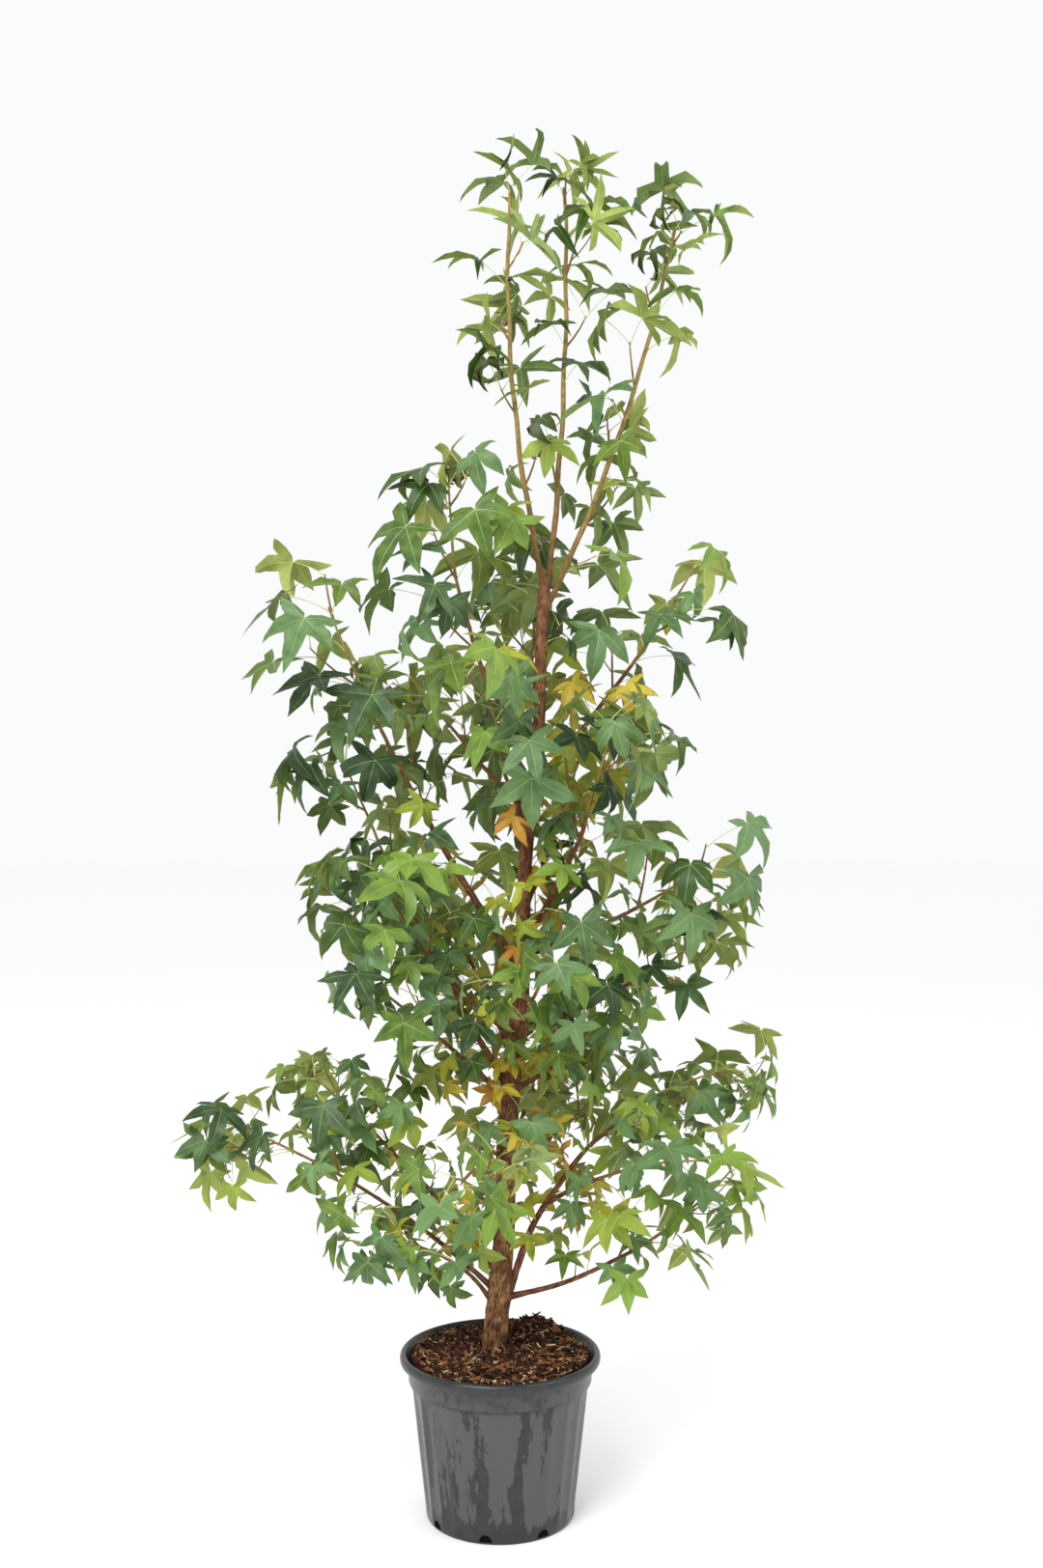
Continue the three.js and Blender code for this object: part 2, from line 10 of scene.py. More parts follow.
import bmesh
import bpy
import numpy as np
from mathutils import Matrix, Vector, noise
from mathutils.bvhtree import BVHTree

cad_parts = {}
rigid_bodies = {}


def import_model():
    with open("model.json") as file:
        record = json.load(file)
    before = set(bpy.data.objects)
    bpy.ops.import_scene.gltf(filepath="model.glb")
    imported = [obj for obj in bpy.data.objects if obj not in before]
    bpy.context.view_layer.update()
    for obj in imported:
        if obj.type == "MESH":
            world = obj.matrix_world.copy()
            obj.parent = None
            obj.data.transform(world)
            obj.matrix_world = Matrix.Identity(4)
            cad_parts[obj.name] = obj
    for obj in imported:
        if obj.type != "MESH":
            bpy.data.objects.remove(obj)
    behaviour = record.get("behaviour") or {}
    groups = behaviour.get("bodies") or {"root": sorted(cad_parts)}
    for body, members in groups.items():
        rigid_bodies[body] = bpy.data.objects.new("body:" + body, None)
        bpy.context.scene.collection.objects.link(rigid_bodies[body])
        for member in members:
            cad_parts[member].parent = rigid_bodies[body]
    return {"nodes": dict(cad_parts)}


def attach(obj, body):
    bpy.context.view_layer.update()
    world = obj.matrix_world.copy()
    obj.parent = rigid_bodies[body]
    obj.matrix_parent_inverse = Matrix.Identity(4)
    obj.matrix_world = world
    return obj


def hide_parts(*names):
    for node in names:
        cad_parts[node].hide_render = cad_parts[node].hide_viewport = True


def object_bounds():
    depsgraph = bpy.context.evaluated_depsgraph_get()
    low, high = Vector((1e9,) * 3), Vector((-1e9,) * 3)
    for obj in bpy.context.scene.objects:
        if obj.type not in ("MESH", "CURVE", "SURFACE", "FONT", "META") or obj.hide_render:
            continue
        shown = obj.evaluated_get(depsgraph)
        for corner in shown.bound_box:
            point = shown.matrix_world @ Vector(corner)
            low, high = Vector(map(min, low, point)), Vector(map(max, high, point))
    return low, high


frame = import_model()
cad_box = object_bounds()
print("frame:", len(frame["nodes"]), "nodes, size", [round(b - a, 3) for a, b in zip(*cad_box)])

# %% [markdown]
# ## Camera, floor and light
# A tall plant is pictured from a few metres away at about half its height, so that its stems stay upright.
# The tree stands on a pale floor in soft light from all round, with a large lamp above and in front, so
# that the leaves' folds show without hard shadows.

# %% Camera, floor and light
CAMERA_AT = (0.0, -3.467, 1.5417)
CAMERA_DOWN = math.radians(1.129)
CAMERA_TURN = -0.0124
LENS_MM = 39.66
SENSOR_MM = 36.0
FLOOR_SIZE = 40.0
FLOOR_COLOUR = (0.985, 0.985, 0.98, 1)
FLOOR_ROUGHNESS = 0.7
SKY_COLOUR = (0.99, 0.995, 1.0, 1)
SKY_STRENGTH = 0.97
LAMPS_FACE = (0, 0, 1.3)
LAMPS = [  # name, place, size in metres, power in watts
    ("lamp_front", (-1.6, -3.2, 4.2), 2.6, 165),
    ("lamp_side", (2.8, -1.2, 3.4), 2.0, 30),
]


def add_to_scene(name, data):
    thing = bpy.data.objects.new(name, data)
    bpy.context.scene.collection.objects.link(thing)
    return thing


def add_camera():
    camera = add_to_scene("camera", bpy.data.cameras.new("camera"))
    camera.data.lens = LENS_MM
    camera.data.sensor_width = SENSOR_MM
    camera.location = CAMERA_AT
    camera.rotation_euler = (math.pi / 2 - CAMERA_DOWN, 0, CAMERA_TURN)
    bpy.context.scene.camera = camera


def add_lamp(name, at, size, power):
    lamp = add_to_scene(name, bpy.data.lights.new(name, "AREA"))
    lamp.data.shape = "DISK"
    lamp.data.size = size
    lamp.data.energy = power
    lamp.location = at
    lamp.rotation_euler = (Vector(LAMPS_FACE) - Vector(at)).to_track_quat("-Z", "Y").to_euler()


def add_floor():
    bm = bmesh.new()
    bmesh.ops.create_grid(bm, x_segments=1, y_segments=1, size=FLOOR_SIZE / 2)
    mesh = bpy.data.meshes.new("floor")
    bm.to_mesh(mesh)
    bm.free()
    floor = add_to_scene("floor", mesh)
    material = bpy.data.materials.new("pale floor")
    material.use_nodes = True
    shader = material.node_tree.nodes["Principled BSDF"]
    shader.inputs["Base Color"].default_value = FLOOR_COLOUR
    shader.inputs["Roughness"].default_value = FLOOR_ROUGHNESS
    mesh.materials.append(material)


def light_world():
    world = bpy.data.worlds.new("studio")
    world.use_nodes = True
    background = world.node_tree.nodes["Background"]
    background.inputs["Color"].default_value = SKY_COLOUR
    background.inputs["Strength"].default_value = SKY_STRENGTH
    bpy.context.scene.world = world


add_camera()
add_floor()
light_world()
for lamp in LAMPS:
    add_lamp(*lamp)
bpy.context.scene.view_settings.view_transform = "Standard"
print("camera", CAMERA_AT, "lens", LENS_MM)

# %% [markdown]
# ## Helpers for finishes
# A finish is a small node graph: noise picks between near colours, and its relief catches the light.
# Making each graph by hand takes many lines, so a helper makes a node, sets its values and links it.

# %% Helpers for finishes


def colour(code):
    """A linear colour from an sRGB hex code."""
    parts = [int(code[i : i + 2], 16) / 255 for i in (1, 3, 5)]
    return tuple(p / 12.92 if p <= 0.04045 else ((p + 0.055) / 1.055) ** 2.4 for p in parts) + (1.0,)


class Finish:
    """A material and short ways to add to its node graph."""

    def __init__(self, name, roughness=0.6, shine=0.5):
        self.material = bpy.data.materials.new(name)
        self.material.use_nodes = True
        self.tree = self.material.node_tree
        self.shader = self.tree.nodes["Principled BSDF"]
        self.shader.inputs["Roughness"].default_value = roughness
        self.shader.inputs["Specular IOR Level"].default_value = shine

    def node(self, kind, inputs=None, **settings):
        node = self.tree.nodes.new(kind)
        for name, value in settings.items():
            setattr(node, name, value)
        for key, value in (inputs or {}).items():
            if isinstance(value, bpy.types.NodeSocket):
                self.tree.links.new(value, node.inputs[key])
            else:
                node.inputs[key].default_value = value
        return node

    def position(self, stretch=(1, 1, 1)):
        """The place on the piece, stretched along its axes."""
        coordinates = self.node("ShaderNodeTexCoord")
        mapping = self.node("ShaderNodeMapping", {"Vector": coordinates.outputs["Object"], "Scale": stretch})
        return mapping.outputs["Vector"]

    def attribute(self, name, output="Fac"):
        return self.node("ShaderNodeAttribute", attribute_name=name).outputs[output]

    def parts(self, vector):
        """The X, Y and Z of a vector."""
        return self.node("ShaderNodeSeparateXYZ", {0: vector}).outputs

    def speckle(self, place, scale, detail=3.0, rough=0.5):
        inputs = {"Vector": place, "Scale": scale, "Detail": detail, "Roughness": rough}
        return self.node("ShaderNodeTexNoise", inputs).outputs["Fac"]

    def math(self, operation, a, b=0.0):
        return self.node("ShaderNodeMath", {0: a, 1: b}, operation=operation).outputs[0]

    def times(self, a, b):
        return self.math("MULTIPLY", a, b)

    def plus(self, a, b):
        return self.math("ADD", a, b)

    def minus(self, a, b):
        return self.math("SUBTRACT", a, b)

    def step(self, value, low, high):
        """0 below low, 1 above high and smooth between."""
        inputs = {"Value": value, "From Min": low, "From Max": high}
        return self.node("ShaderNodeMapRange", inputs, interpolation_type="SMOOTHSTEP").outputs["Result"]

    def mix(self, share, a, b):
        """Colour a where share is 0 and b where it is 1."""
        return self.node("ShaderNodeMix", {0: share, 6: a, 7: b}, data_type="RGBA").outputs[2]

    def blend(self, value, low, high, first, second):
        """One colour where a value is below low, another where it is above high."""
        return self.mix(self.step(value, low, high), colour(first), colour(second))

    def over(self, base, share, strength, code):
        """A base with a colour over it, as strongly as a share says."""
        return self.mix(self.times(share, strength), base, colour(code))

    def bump(self, height, strength, distance):
        inputs = {"Height": height, "Strength": strength, "Distance": distance}
        normal = self.node("ShaderNodeBump", inputs).outputs["Normal"]
        self.tree.links.new(normal, self.shader.inputs["Normal"])

    def paint(self, socket, value):
        self.tree.links.new(value, self.shader.inputs[socket])


def add_piece(name, mesh, finishes, nodes):
    """Puts a finished mesh in the scene, in place of the frame's nodes of that name."""
    piece = add_to_scene(name, mesh)
    for finish in finishes:
        mesh.materials.append(finish)
    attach(piece, "root")
    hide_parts(*nodes)
    print(name, len(mesh.polygons), "faces")


def shade(mesh, smooth_below):
    """Smooth shading where faces meet at less than an angle in degrees."""
    mesh.shade_smooth()
    mesh.set_sharp_from_angle(angle=math.radians(smooth_below))


def mesh_of(bm, name, smooth_below=None):
    """The mesh of a bmesh, with its normals turned outwards."""
    bmesh.ops.recalc_face_normals(bm, faces=bm.faces)
    mesh = bpy.data.meshes.new(name)
    bm.to_mesh(mesh)
    bm.free()
    if smooth_below:
        shade(mesh, smooth_below)
    return mesh


def write_attribute(mesh, name, values):
    """A number at each point, or a vector where the values are rows of three."""
    values = np.asarray(values, np.float32)
    kind, field = ("FLOAT_VECTOR", "vector") if values.ndim == 2 else ("FLOAT", "value")
    mesh.attributes.new(name, kind, "POINT").data.foreach_set(field, values.ravel())


# %% [markdown]
# ## The pot
# A nursery pot is blow-moulded plastic: a tapering wall with shallow upright flutes that stiffen it, a plain
# collar, a rolled lip to lift it by, and arched drain holes at its foot. The wall is a profile spun round the
# axis, its flutes are moved in afterwards, and a Boolean cuts the drains, as a die does.

# %% The pot's wall
POT_HEIGHT = 0.330
POT_WALL = 0.003
POT_FLOOR = 0.004
WALL_TOP = POT_HEIGHT - 0.004
RIM_RADIUS = 0.2025
RIM_DEPTH = 0.022
LIP_INNER = 0.188
LIP_FOOT = POT_HEIGHT - RIM_DEPTH
LIP_POINTS = 13
LIP_FROM = -115  # degrees round the lip's oval, where it leaves the collar
LIP_SWEEP = 275
COLLAR_RADIUS = 0.1845
COLLAR_DEPTH = 0.036
COLLAR_FOOT = LIP_FOOT - COLLAR_DEPTH
BODY_RADIUS = 0.179
FOOT_RADIUS = 0.149
POT_STEPS = 208
# Points of the profile: how far outside the foot's or the collar's radius, and how high.
UNDERSIDE = [(-0.022, 0.003), (-0.018, 0), (-0.004, 0), (-0.0014, 0.0010), (-0.0002, 0.0035)]
BODY_LEVELS = [0.01, 0.03, 0.06, 0.1, 0.14, 0.18, 0.22, 0.25, COLLAR_FOOT - 0.006, COLLAR_FOOT - 0.002]
COLLAR = [(-0.001, COLLAR_FOOT), (0, COLLAR_FOOT + 0.0025)]
COLLAR += [(0.0010, LIP_FOOT - 0.002), (0.0022, LIP_FOOT + 0.001)]
FLUTES = 26
FLUTE_DEPTH = 0.0028
FLUTE_ENDS = 0.008  # plain wall at the foot and under the collar
FLUTE_RUN_OUT = (0.030, 0.012)  # over which flutes deepen from there
FLUTE_ROUNDING = 0.6
SAME_PLACE = 1e-6


def inner_radius(z):
    """The pot's inner wall."""
    share = (z - POT_FLOOR) / (WALL_TOP - POT_FLOOR)
    return FOOT_RADIUS - POT_WALL + share * (COLLAR_RADIUS - FOOT_RADIUS)


def body_radius(z):
    """The pot's outer wall below the collar."""
    return FOOT_RADIUS + (BODY_RADIUS - FOOT_RADIUS) * z / COLLAR_FOOT


def pot_profile():
    """Radius and height from the axis of the underside, round the lip and down the inside to the axis."""
    points = [(0, UNDERSIDE[0][1])] + [(FOOT_RADIUS + off, z) for off, z in UNDERSIDE]
    points += [(body_radius(z), z) for z in BODY_LEVELS]
    points += [(COLLAR_RADIUS + off, z) for off, z in COLLAR]
    middle, half_width = (RIM_RADIUS + LIP_INNER) / 2, (RIM_RADIUS - LIP_INNER) / 2
    for i in range(LIP_POINTS):
        a = math.radians(LIP_FROM + LIP_SWEEP * i / (LIP_POINTS - 1))
        points.append((middle + half_width * math.cos(a), LIP_FOOT + RIM_DEPTH / 2 * (1 + math.sin(a))))
    neck = LIP_FOOT + 0.006
    points += [(inner_radius(neck + 0.004) + 0.0022, neck + 0.0045), (inner_radius(neck), neck)]
    points += [(inner_radius(LIP_FOOT), LIP_FOOT), (inner_radius(POT_FLOOR), POT_FLOOR), (0, POT_FLOOR)]
    return points


def spin_profile(bm, points, steps):
    """A closed body from points that start and end on the axis."""
    verts = [bm.verts.new((r, 0, z)) for r, z in points]
    edges = [bm.edges.new(pair) for pair in zip(verts, verts[1:])]
    axis = dict(cent=(0, 0, 0), axis=(0, 0, 1), angle=2 * math.pi, steps=steps, use_merge=True)
    bmesh.ops.spin(bm, geom=verts + edges, use_duplicate=False, **axis)
    bmesh.ops.remove_doubles(bm, verts=bm.verts, dist=SAME_PLACE)


def clamped(share):
    return min(max(share, 0), 1)


def flute_depth(angle, z):
    """How far the wall is pressed in: broad shallow hollows that run out under the collar and at the foot."""
    low_run, high_run = FLUTE_RUN_OUT
    ends = clamped((z - FLUTE_ENDS) / low_run) * clamped((COLLAR_FOOT - FLUTE_ENDS - z) / high_run)
    wave = 0.5 - 0.5 * math.cos(FLUTES * angle)
    return FLUTE_DEPTH * ends * wave**FLUTE_ROUNDING


def on_outer_wall(z, radius):
    return z < COLLAR_FOOT - 0.004 and radius > body_radius(z) - 0.0015


pot = bmesh.new()
spin_profile(pot, pot_profile(), POT_STEPS)
for v in pot.verts:
    radius = math.hypot(v.co.x, v.co.y)
    if on_outer_wall(v.co.z, radius):
        squeeze = 1 - flute_depth(math.atan2(v.co.y, v.co.x), v.co.z) / radius
        v.co.x *= squeeze
        v.co.y *= squeeze
pot_mesh = mesh_of(pot, "pot_dressed", smooth_below=40)

# %% [markdown]
# ### The drain holes
# Each drain is an arch at the foot of the wall. A short arched bar is pushed through the wall at each place
# and cut away, and the bars are then thrown out.

# %% The drain holes
DRAINS = 8
DRAIN_WIDTH = 0.026
DRAIN_TOP = 0.020
DRAIN_FOOT = 0.0045
DRAIN_TURN = math.radians(11.5)
BAR_LENGTH = 0.016
BAR_SEGMENTS = 20


def drain_bars():
    """Arched bars through the wall, as one object that a Boolean cuts with."""
    bm = bmesh.new()
    half = DRAIN_WIDTH / 2
    form = dict(cap_ends=True, segments=BAR_SEGMENTS, radius1=half, radius2=half, depth=BAR_LENGTH)
    for i in range(DRAINS):
        angle = (i + 0.5) / DRAINS * 2 * math.pi + DRAIN_TURN
        bar = bmesh.ops.create_cone(bm, **form)["verts"]
        for v in bar:
            x, y, z = v.co
            height = max(y, 0) * (DRAIN_TOP - DRAIN_FOOT) / half
            v.co = (FOOT_RADIUS - 0.001 + z, x, DRAIN_FOOT + height)
        bmesh.ops.rotate(bm, verts=bar, cent=(0, 0, 0), matrix=Matrix.Rotation(angle, 3, "Z"))
    bmesh.ops.remove_doubles(bm, verts=bm.verts, dist=SAME_PLACE)
    return mesh_of(bm, "drain_bars")


def cut_away(mesh, bars):
    """The mesh less the bars."""
    body = add_to_scene("body_to_cut", mesh)
    tool = add_to_scene("cutting_bars", bars)
    cut = body.modifiers.new("drains", "BOOLEAN")
    cut.operation = "DIFFERENCE"
    cut.solver = "EXACT"
    cut.object = tool
    result = bpy.data.meshes.new_from_object(body.evaluated_get(bpy.context.evaluated_depsgraph_get()))
    for o in (body, tool):
        bpy.data.objects.remove(o)
    return result


pot_mesh = cut_away(pot_mesh, drain_bars())
print("pot wall", len(pot_mesh.polygons), "faces")

# %% [markdown]
# ### The pot's finish
# Grey-black plastic with a satin skin. Watering leaves a veil of dust on the wall that later drips have
# washed off in upright streaks, so streaks stretched along Z part dusty grey from wet black. The lip and
# the foot stay cleaner.

# %% The pot's finish
DUST_FROM = (0.120, 0.131)


def pot_finish():
    """Upright streaks of dust between the foot and the collar, and a veil on the collar."""
    finish = Finish("pot plastic", shine=0.4)
    columns = finish.speckle(finish.position((20, 20, 1.4)), 1.0, 3.0, 0.55)
    rags = finish.speckle(finish.position((110, 110, 26)), 1.0, 5.0, 0.7)
    edges = finish.speckle(finish.position((60, 60, 40)), 1.0, 3.0)
    ragged = finish.plus(columns, finish.times(finish.minus(rags, 0.5), 0.34))
    height = finish.parts(finish.position())["Z"]
    above_foot = finish.step(finish.plus(height, finish.times(ragged, 0.16)), *DUST_FROM)
    below_collar = finish.step(height, COLLAR_FOOT, COLLAR_FOOT - 0.010)
    dust = finish.times(finish.times(finish.step(ragged, 0.47, 0.50), above_foot), below_collar)
    collar = finish.times(finish.step(height, COLLAR_FOOT - 0.004, COLLAR_FOOT), 0.85)
    collar = finish.times(collar, finish.step(edges, 0.20, 0.65))
    veil = finish.math("MAXIMUM", dust, collar)
    base = finish.over(finish.blend(edges, 0.3, 0.8, "#232627", "#2d3031"), veil, 0.62, "#555755")
    base = finish.over(base, finish.step(height, LIP_FOOT - 0.002, LIP_FOOT + 0.002), 0.8, "#242728")
    specks = finish.step(finish.speckle(finish.position(), 420.0, 2.0), 0.70, 0.76)
    finish.paint("Base Color", finish.over(base, specks, 0.5, "#1d1f20"))
    finish.paint("Roughness", finish.plus(0.20, finish.times(veil, 0.22)))
    finish.bump(finish.plus(edges, finish.times(veil, 0.5)), 0.10, 0.001)
    return finish.material


add_piece("pot_dressed", pot_mesh, [pot_finish()], ["pot"])

# %% [markdown]
# ## The mulch
# The root ball is topped with coarse bark mulch: a crumbly dark base with a few thousand chips and splinters
# lying on it. The base is a profile spun into a closed plug whose top is then lumped with noise. Each chip is
# a bent slab of ten faces, and all chips of one colour are joined into one mesh.

# %% The mulch's lumpy base
SOIL_LEVEL = 0.322
SOIL_HEAP = 0.006
SOIL_HEAP_RUN = 0.090
BANK_HEIGHT = 0.031
BANK_AT = (0.080, 0.120)
BANK_REACH = 0.078
HOLLOW_DEPTH = 0.014
HOLLOW_AT = (0.058, 0.012)  # from the trunk
HOLLOW_REACH = 0.026
LUMPS = (0.0075, 42, 3)  # height, how many to a metre, and where the noise is taken
CRUMBS = (0.0055, 120, 8)
SLOPE = 1.2  # the steepest that mulch lies against the lip
TRUNK_X = -0.013
TRUNK_Y = 0.030
MULCH_FLOOR = POT_FLOOR + 0.0003
MULCH_GAP = 0.0006  # to the pot's wall
MULCH_RINGS = 56
MULCH_STEPS = 160
rng = np.random.default_rng(7)


def smooth(value, low, high):
    """0 below low, 1 above high and smooth between."""
    share = clamped((value - low) / (high - low))
    return share * share * (3 - 2 * share)


def bumps(x, y, height, per_metre, level):
    return height * noise.noise(Vector((x * per_metre, y * per_metre, level)))


def mulch_level(x, y):
    """Height of the mulch's top: banked up at the far right, hollow beside the trunk, and lumpy."""
    from_wall = inner_radius(SOIL_LEVEL) - math.hypot(x, y)
    heap = SOIL_HEAP * smooth(from_wall, 0, SOIL_HEAP_RUN)
    bank = BANK_HEIGHT * smooth(BANK_REACH - math.hypot(x - BANK_AT[0], y - BANK_AT[1]), 0, BANK_REACH)
    beside = math.hypot(x - TRUNK_X - HOLLOW_AT[0], y - TRUNK_Y - HOLLOW_AT[1])
    hollow = HOLLOW_DEPTH * math.exp(-((beside / HOLLOW_REACH) ** 2))
    lumpy = SOIL_LEVEL + heap + bank - hollow + bumps(x, y, *LUMPS)
    return min(lumpy, SOIL_LEVEL + 0.002 + SLOPE * from_wall) + bumps(x, y, *CRUMBS)


def mulch_base():
    bm = bmesh.new()
    rim = inner_radius(SOIL_LEVEL) - MULCH_GAP
    foot = inner_radius(POT_FLOOR) - MULCH_GAP
    points = [(0, MULCH_FLOOR), (foot, MULCH_FLOOR), (rim, SOIL_LEVEL - 0.006)]
    points += [(rim * i / MULCH_RINGS, SOIL_LEVEL) for i in range(MULCH_RINGS, -1, -1)]
    spin_profile(bm, points, MULCH_STEPS)
    for v in bm.verts:
        if v.co.z > SOIL_LEVEL - 0.001:
            v.co.z = mulch_level(v.co.x, v.co.y)
    return mesh_of(bm, "mulch_base", smooth_below=50)


def mulch_finish():
    finish = Finish("compost", roughness=0.95, shine=0.1)
    place = finish.position()
    grains = finish.speckle(place, 260.0, 4.0, 0.7)
    dark = finish.blend(finish.speckle(place, 38.0, 3.0), 0.35, 0.7, "#120b07", "#331d13")
    grainy = finish.mix(finish.step(grains, 0.5, 0.75), dark, colour("#6b4630"))
    below = finish.step(finish.parts(place)["Z"], SOIL_LEVEL - 0.020, SOIL_LEVEL - 0.040)
    finish.paint("Base Color", finish.mix(below, grainy, colour("#150f0b")))
    finish.bump(grains, 0.7, 0.003)
    return finish.material


add_piece("mulch_base", mulch_base(), [mulch_finish()], ["mulch"])

# %% [markdown]
# ### Chips and splinters
# Arrays hold the chips: a random place on the mulch, a random turn and tilt, and a size drawn so that most
# are crumbs and a few are long splinters. Numpy poses all of them in one go.

# %% Chips and splinters
CHIP_CRUMBLE = 2.2  # the higher, the smaller most chips are
CHIP_THICKNESSES = (0.5, 1.3)
CHIP_TAPER = 0.7
CHIP_BEND = 0.25
CHIP_PITCH = 0.42
CHIP_ROLL = 0.6
CHIP_LIFT = 0.3
CHIPS_REACH = inner_radius(SOIL_LEVEL) - 0.006
TRUNK_ROOM = 0.029


def joined_mesh(name, points, faces):
    """One mesh from the same small shape posed many times: points is (copies, corners, 3)."""
    copies, corners, axes = points.shape
    bases = range(0, copies * corners, corners)
    all_faces = [tuple(c + base for c in face) for base in bases for face in faces]
    mesh = bpy.data.meshes.new(name)
    mesh.from_pydata(points.reshape(-1, axes).tolist(), [], all_faces)
    return mesh


def chip_shape():
    """Corners and faces of a slab of two lengths, from -1 to 1 each way, which is then bent and tapered."""
    bm = bmesh.new()
    bmesh.ops.create_cube(bm, size=2)
    long_edges = [e for e in bm.edges if abs(e.verts[0].co.x - e.verts[1].co.x) > 1]
    bmesh.ops.subdivide_edges(bm, edges=long_edges, cuts=1)
    bm.verts.ensure_lookup_table()
    corners = np.array([v.co[:] for v in bm.verts])
    faces = [tuple(v.index for v in f.verts) for f in bm.faces]
    bm.free()
    return corners, faces


def turned(points, yaw, pitch, roll_):
    """Points of many copies, each rolled, pitched and turned by its own angles."""
    x, y, z = np.moveaxis(points, -1, 0)
    c, s = np.cos(roll_)[:, None], np.sin(roll_)[:, None]
    y, z = c * y - s * z, s * y + c * z
    c, s = np.cos(pitch)[:, None], np.sin(pitch)[:, None]
    x, z = c * x + s * z, c * z - s * x
    c, s = np.cos(yaw)[:, None], np.sin(yaw)[:, None]
    return np.stack([c * x - s * y, s * x + c * y, z], -1)


def scatter_chips(name, count, lengths, widths, thickness, finish):
    """Lays chips at random and keeps those inside the wall and clear of the trunk."""
    corners, faces = chip_shape()
    radius = CHIPS_REACH * np.sqrt(rng.random(count))
    angle = rng.uniform(0, 2 * math.pi, count)
    x, y = radius * np.cos(angle), radius * np.sin(angle)
    size = rng.uniform(0, 1, count) ** CHIP_CRUMBLE
    length = lengths[0] + (lengths[1] - lengths[0]) * size
    width = widths[0] + (widths[1] - widths[0]) * size * rng.random(count)
    half = np.stack([length, width, thickness * rng.uniform(*CHIP_THICKNESSES, count)], -1) / 2
    shape = np.repeat(corners[None], count, 0)
    taper = 1 - rng.uniform(0, CHIP_TAPER, (count, 1)) * np.abs(shape[:, :, 0])
    shape[:, :, 1:] *= taper[:, :, None]
    bend = rng.uniform(-CHIP_BEND, CHIP_BEND, (count, 1)) * shape[:, :, 0] ** 2
    shape *= half[:, None]
    shape[:, :, 2] += bend * half[:, None, 0]
    yaw = rng.uniform(0, 2 * math.pi, count)
    pose = turned(shape, yaw, rng.normal(0, CHIP_PITCH, count), rng.normal(0, CHIP_ROLL, count))
    level = np.array([mulch_level(a, b) for a, b in zip(x, y)])
    lift = CHIP_LIFT * half[:, 0] * rng.random(count) + 0.0006
    pose += np.stack([x, y, level + lift], -1)[:, None]
    reach = np.hypot(pose[:, :, 0], pose[:, :, 1]).max(1)
    clear_of_trunk = np.hypot(x - TRUNK_X, y - TRUNK_Y) > TRUNK_ROOM
    keep = (reach < inner_radius(SOIL_LEVEL) - 0.001) & clear_of_trunk
    add_piece(name, joined_mesh(name, pose[keep], faces), [finish], ["mulch"])


def chip_finish(name, dark, light, streak):
    finish = Finish(name, roughness=0.85, shine=0.2)
    tone = finish.blend(finish.speckle(finish.position(), 70.0, 2.0), 0.35, 0.65, dark, light)
    fibres = finish.step(finish.speckle(finish.position((1, 1, 0.4)), 900.0, 2.0), 0.5, 0.72)
    finish.paint("Base Color", finish.mix(fibres, tone, colour(streak)))
    finish.bump(fibres, 0.4, 0.0006)
    return finish.material


dark_bark = chip_finish("dark bark chips", "#160c08", "#3b2116", "#5c3d2a")
red_bark = chip_finish("red bark chips", "#5a3320", "#935c34", "#b98c5c")
straw = chip_finish("pale splinters", "#b5976a", "#e2cf9f", "#f7eed6")
scatter_chips("mulch_chips_dark", 2100, (0.004, 0.030), (0.003, 0.016), 0.0028, dark_bark)
scatter_chips("mulch_chips_red", 1700, (0.004, 0.028), (0.002, 0.010), 0.0022, red_bark)
scatter_chips("mulch_splinters", 700, (0.004, 0.024), (0.0014, 0.0055), 0.0016, straw)

# %% [markdown]
# ## The limbs' lines
# Each limb is an arc that leaves the trunk, or a parent limb, at a named place: it climbs at one angle at its
# root and another at its tip, and waves a little sideways. A curve object would do, but leaves and twigs have
# to know the place and direction at any share of a limb, so the arc is a short formula.

# %% The limbs' lines
WAVE_DEPTH = 0.004
WAVE_LENGTH = 0.190
UP = np.array([0.0, 0.0, 1.0])
GROUND = 0.310
FORK = 1.890
LEAN = math.radians(3.9)
SWAY = 0.004
SWAY_WAVE = 0.520
SWAY_FROM = 1.440
TRUNK_TAPER = [(0, 0.026), (0.025, 0.0238), (0.110, 0.022), (0.700, 0.0185)]  # height over GROUND, radius
TRUNK_TAPER += [(0.900, 0.014), (1.430, 0.012), (1.550, 0.012), (1.580, 0.0135)]


def limb(name, start, turn, rise, length, radius, bare, twigs, parent=None, out=0.0):
    """One limb. start: height on the trunk, or the share of its parent; turn and rise in degrees."""
    return dict(
        name=name, start=start, turn=math.radians(turn), rise=[math.radians(r) for r in rise],
        length=length, radius=radius, bare=bare, twigs=twigs, parent=parent, out=out,
    )


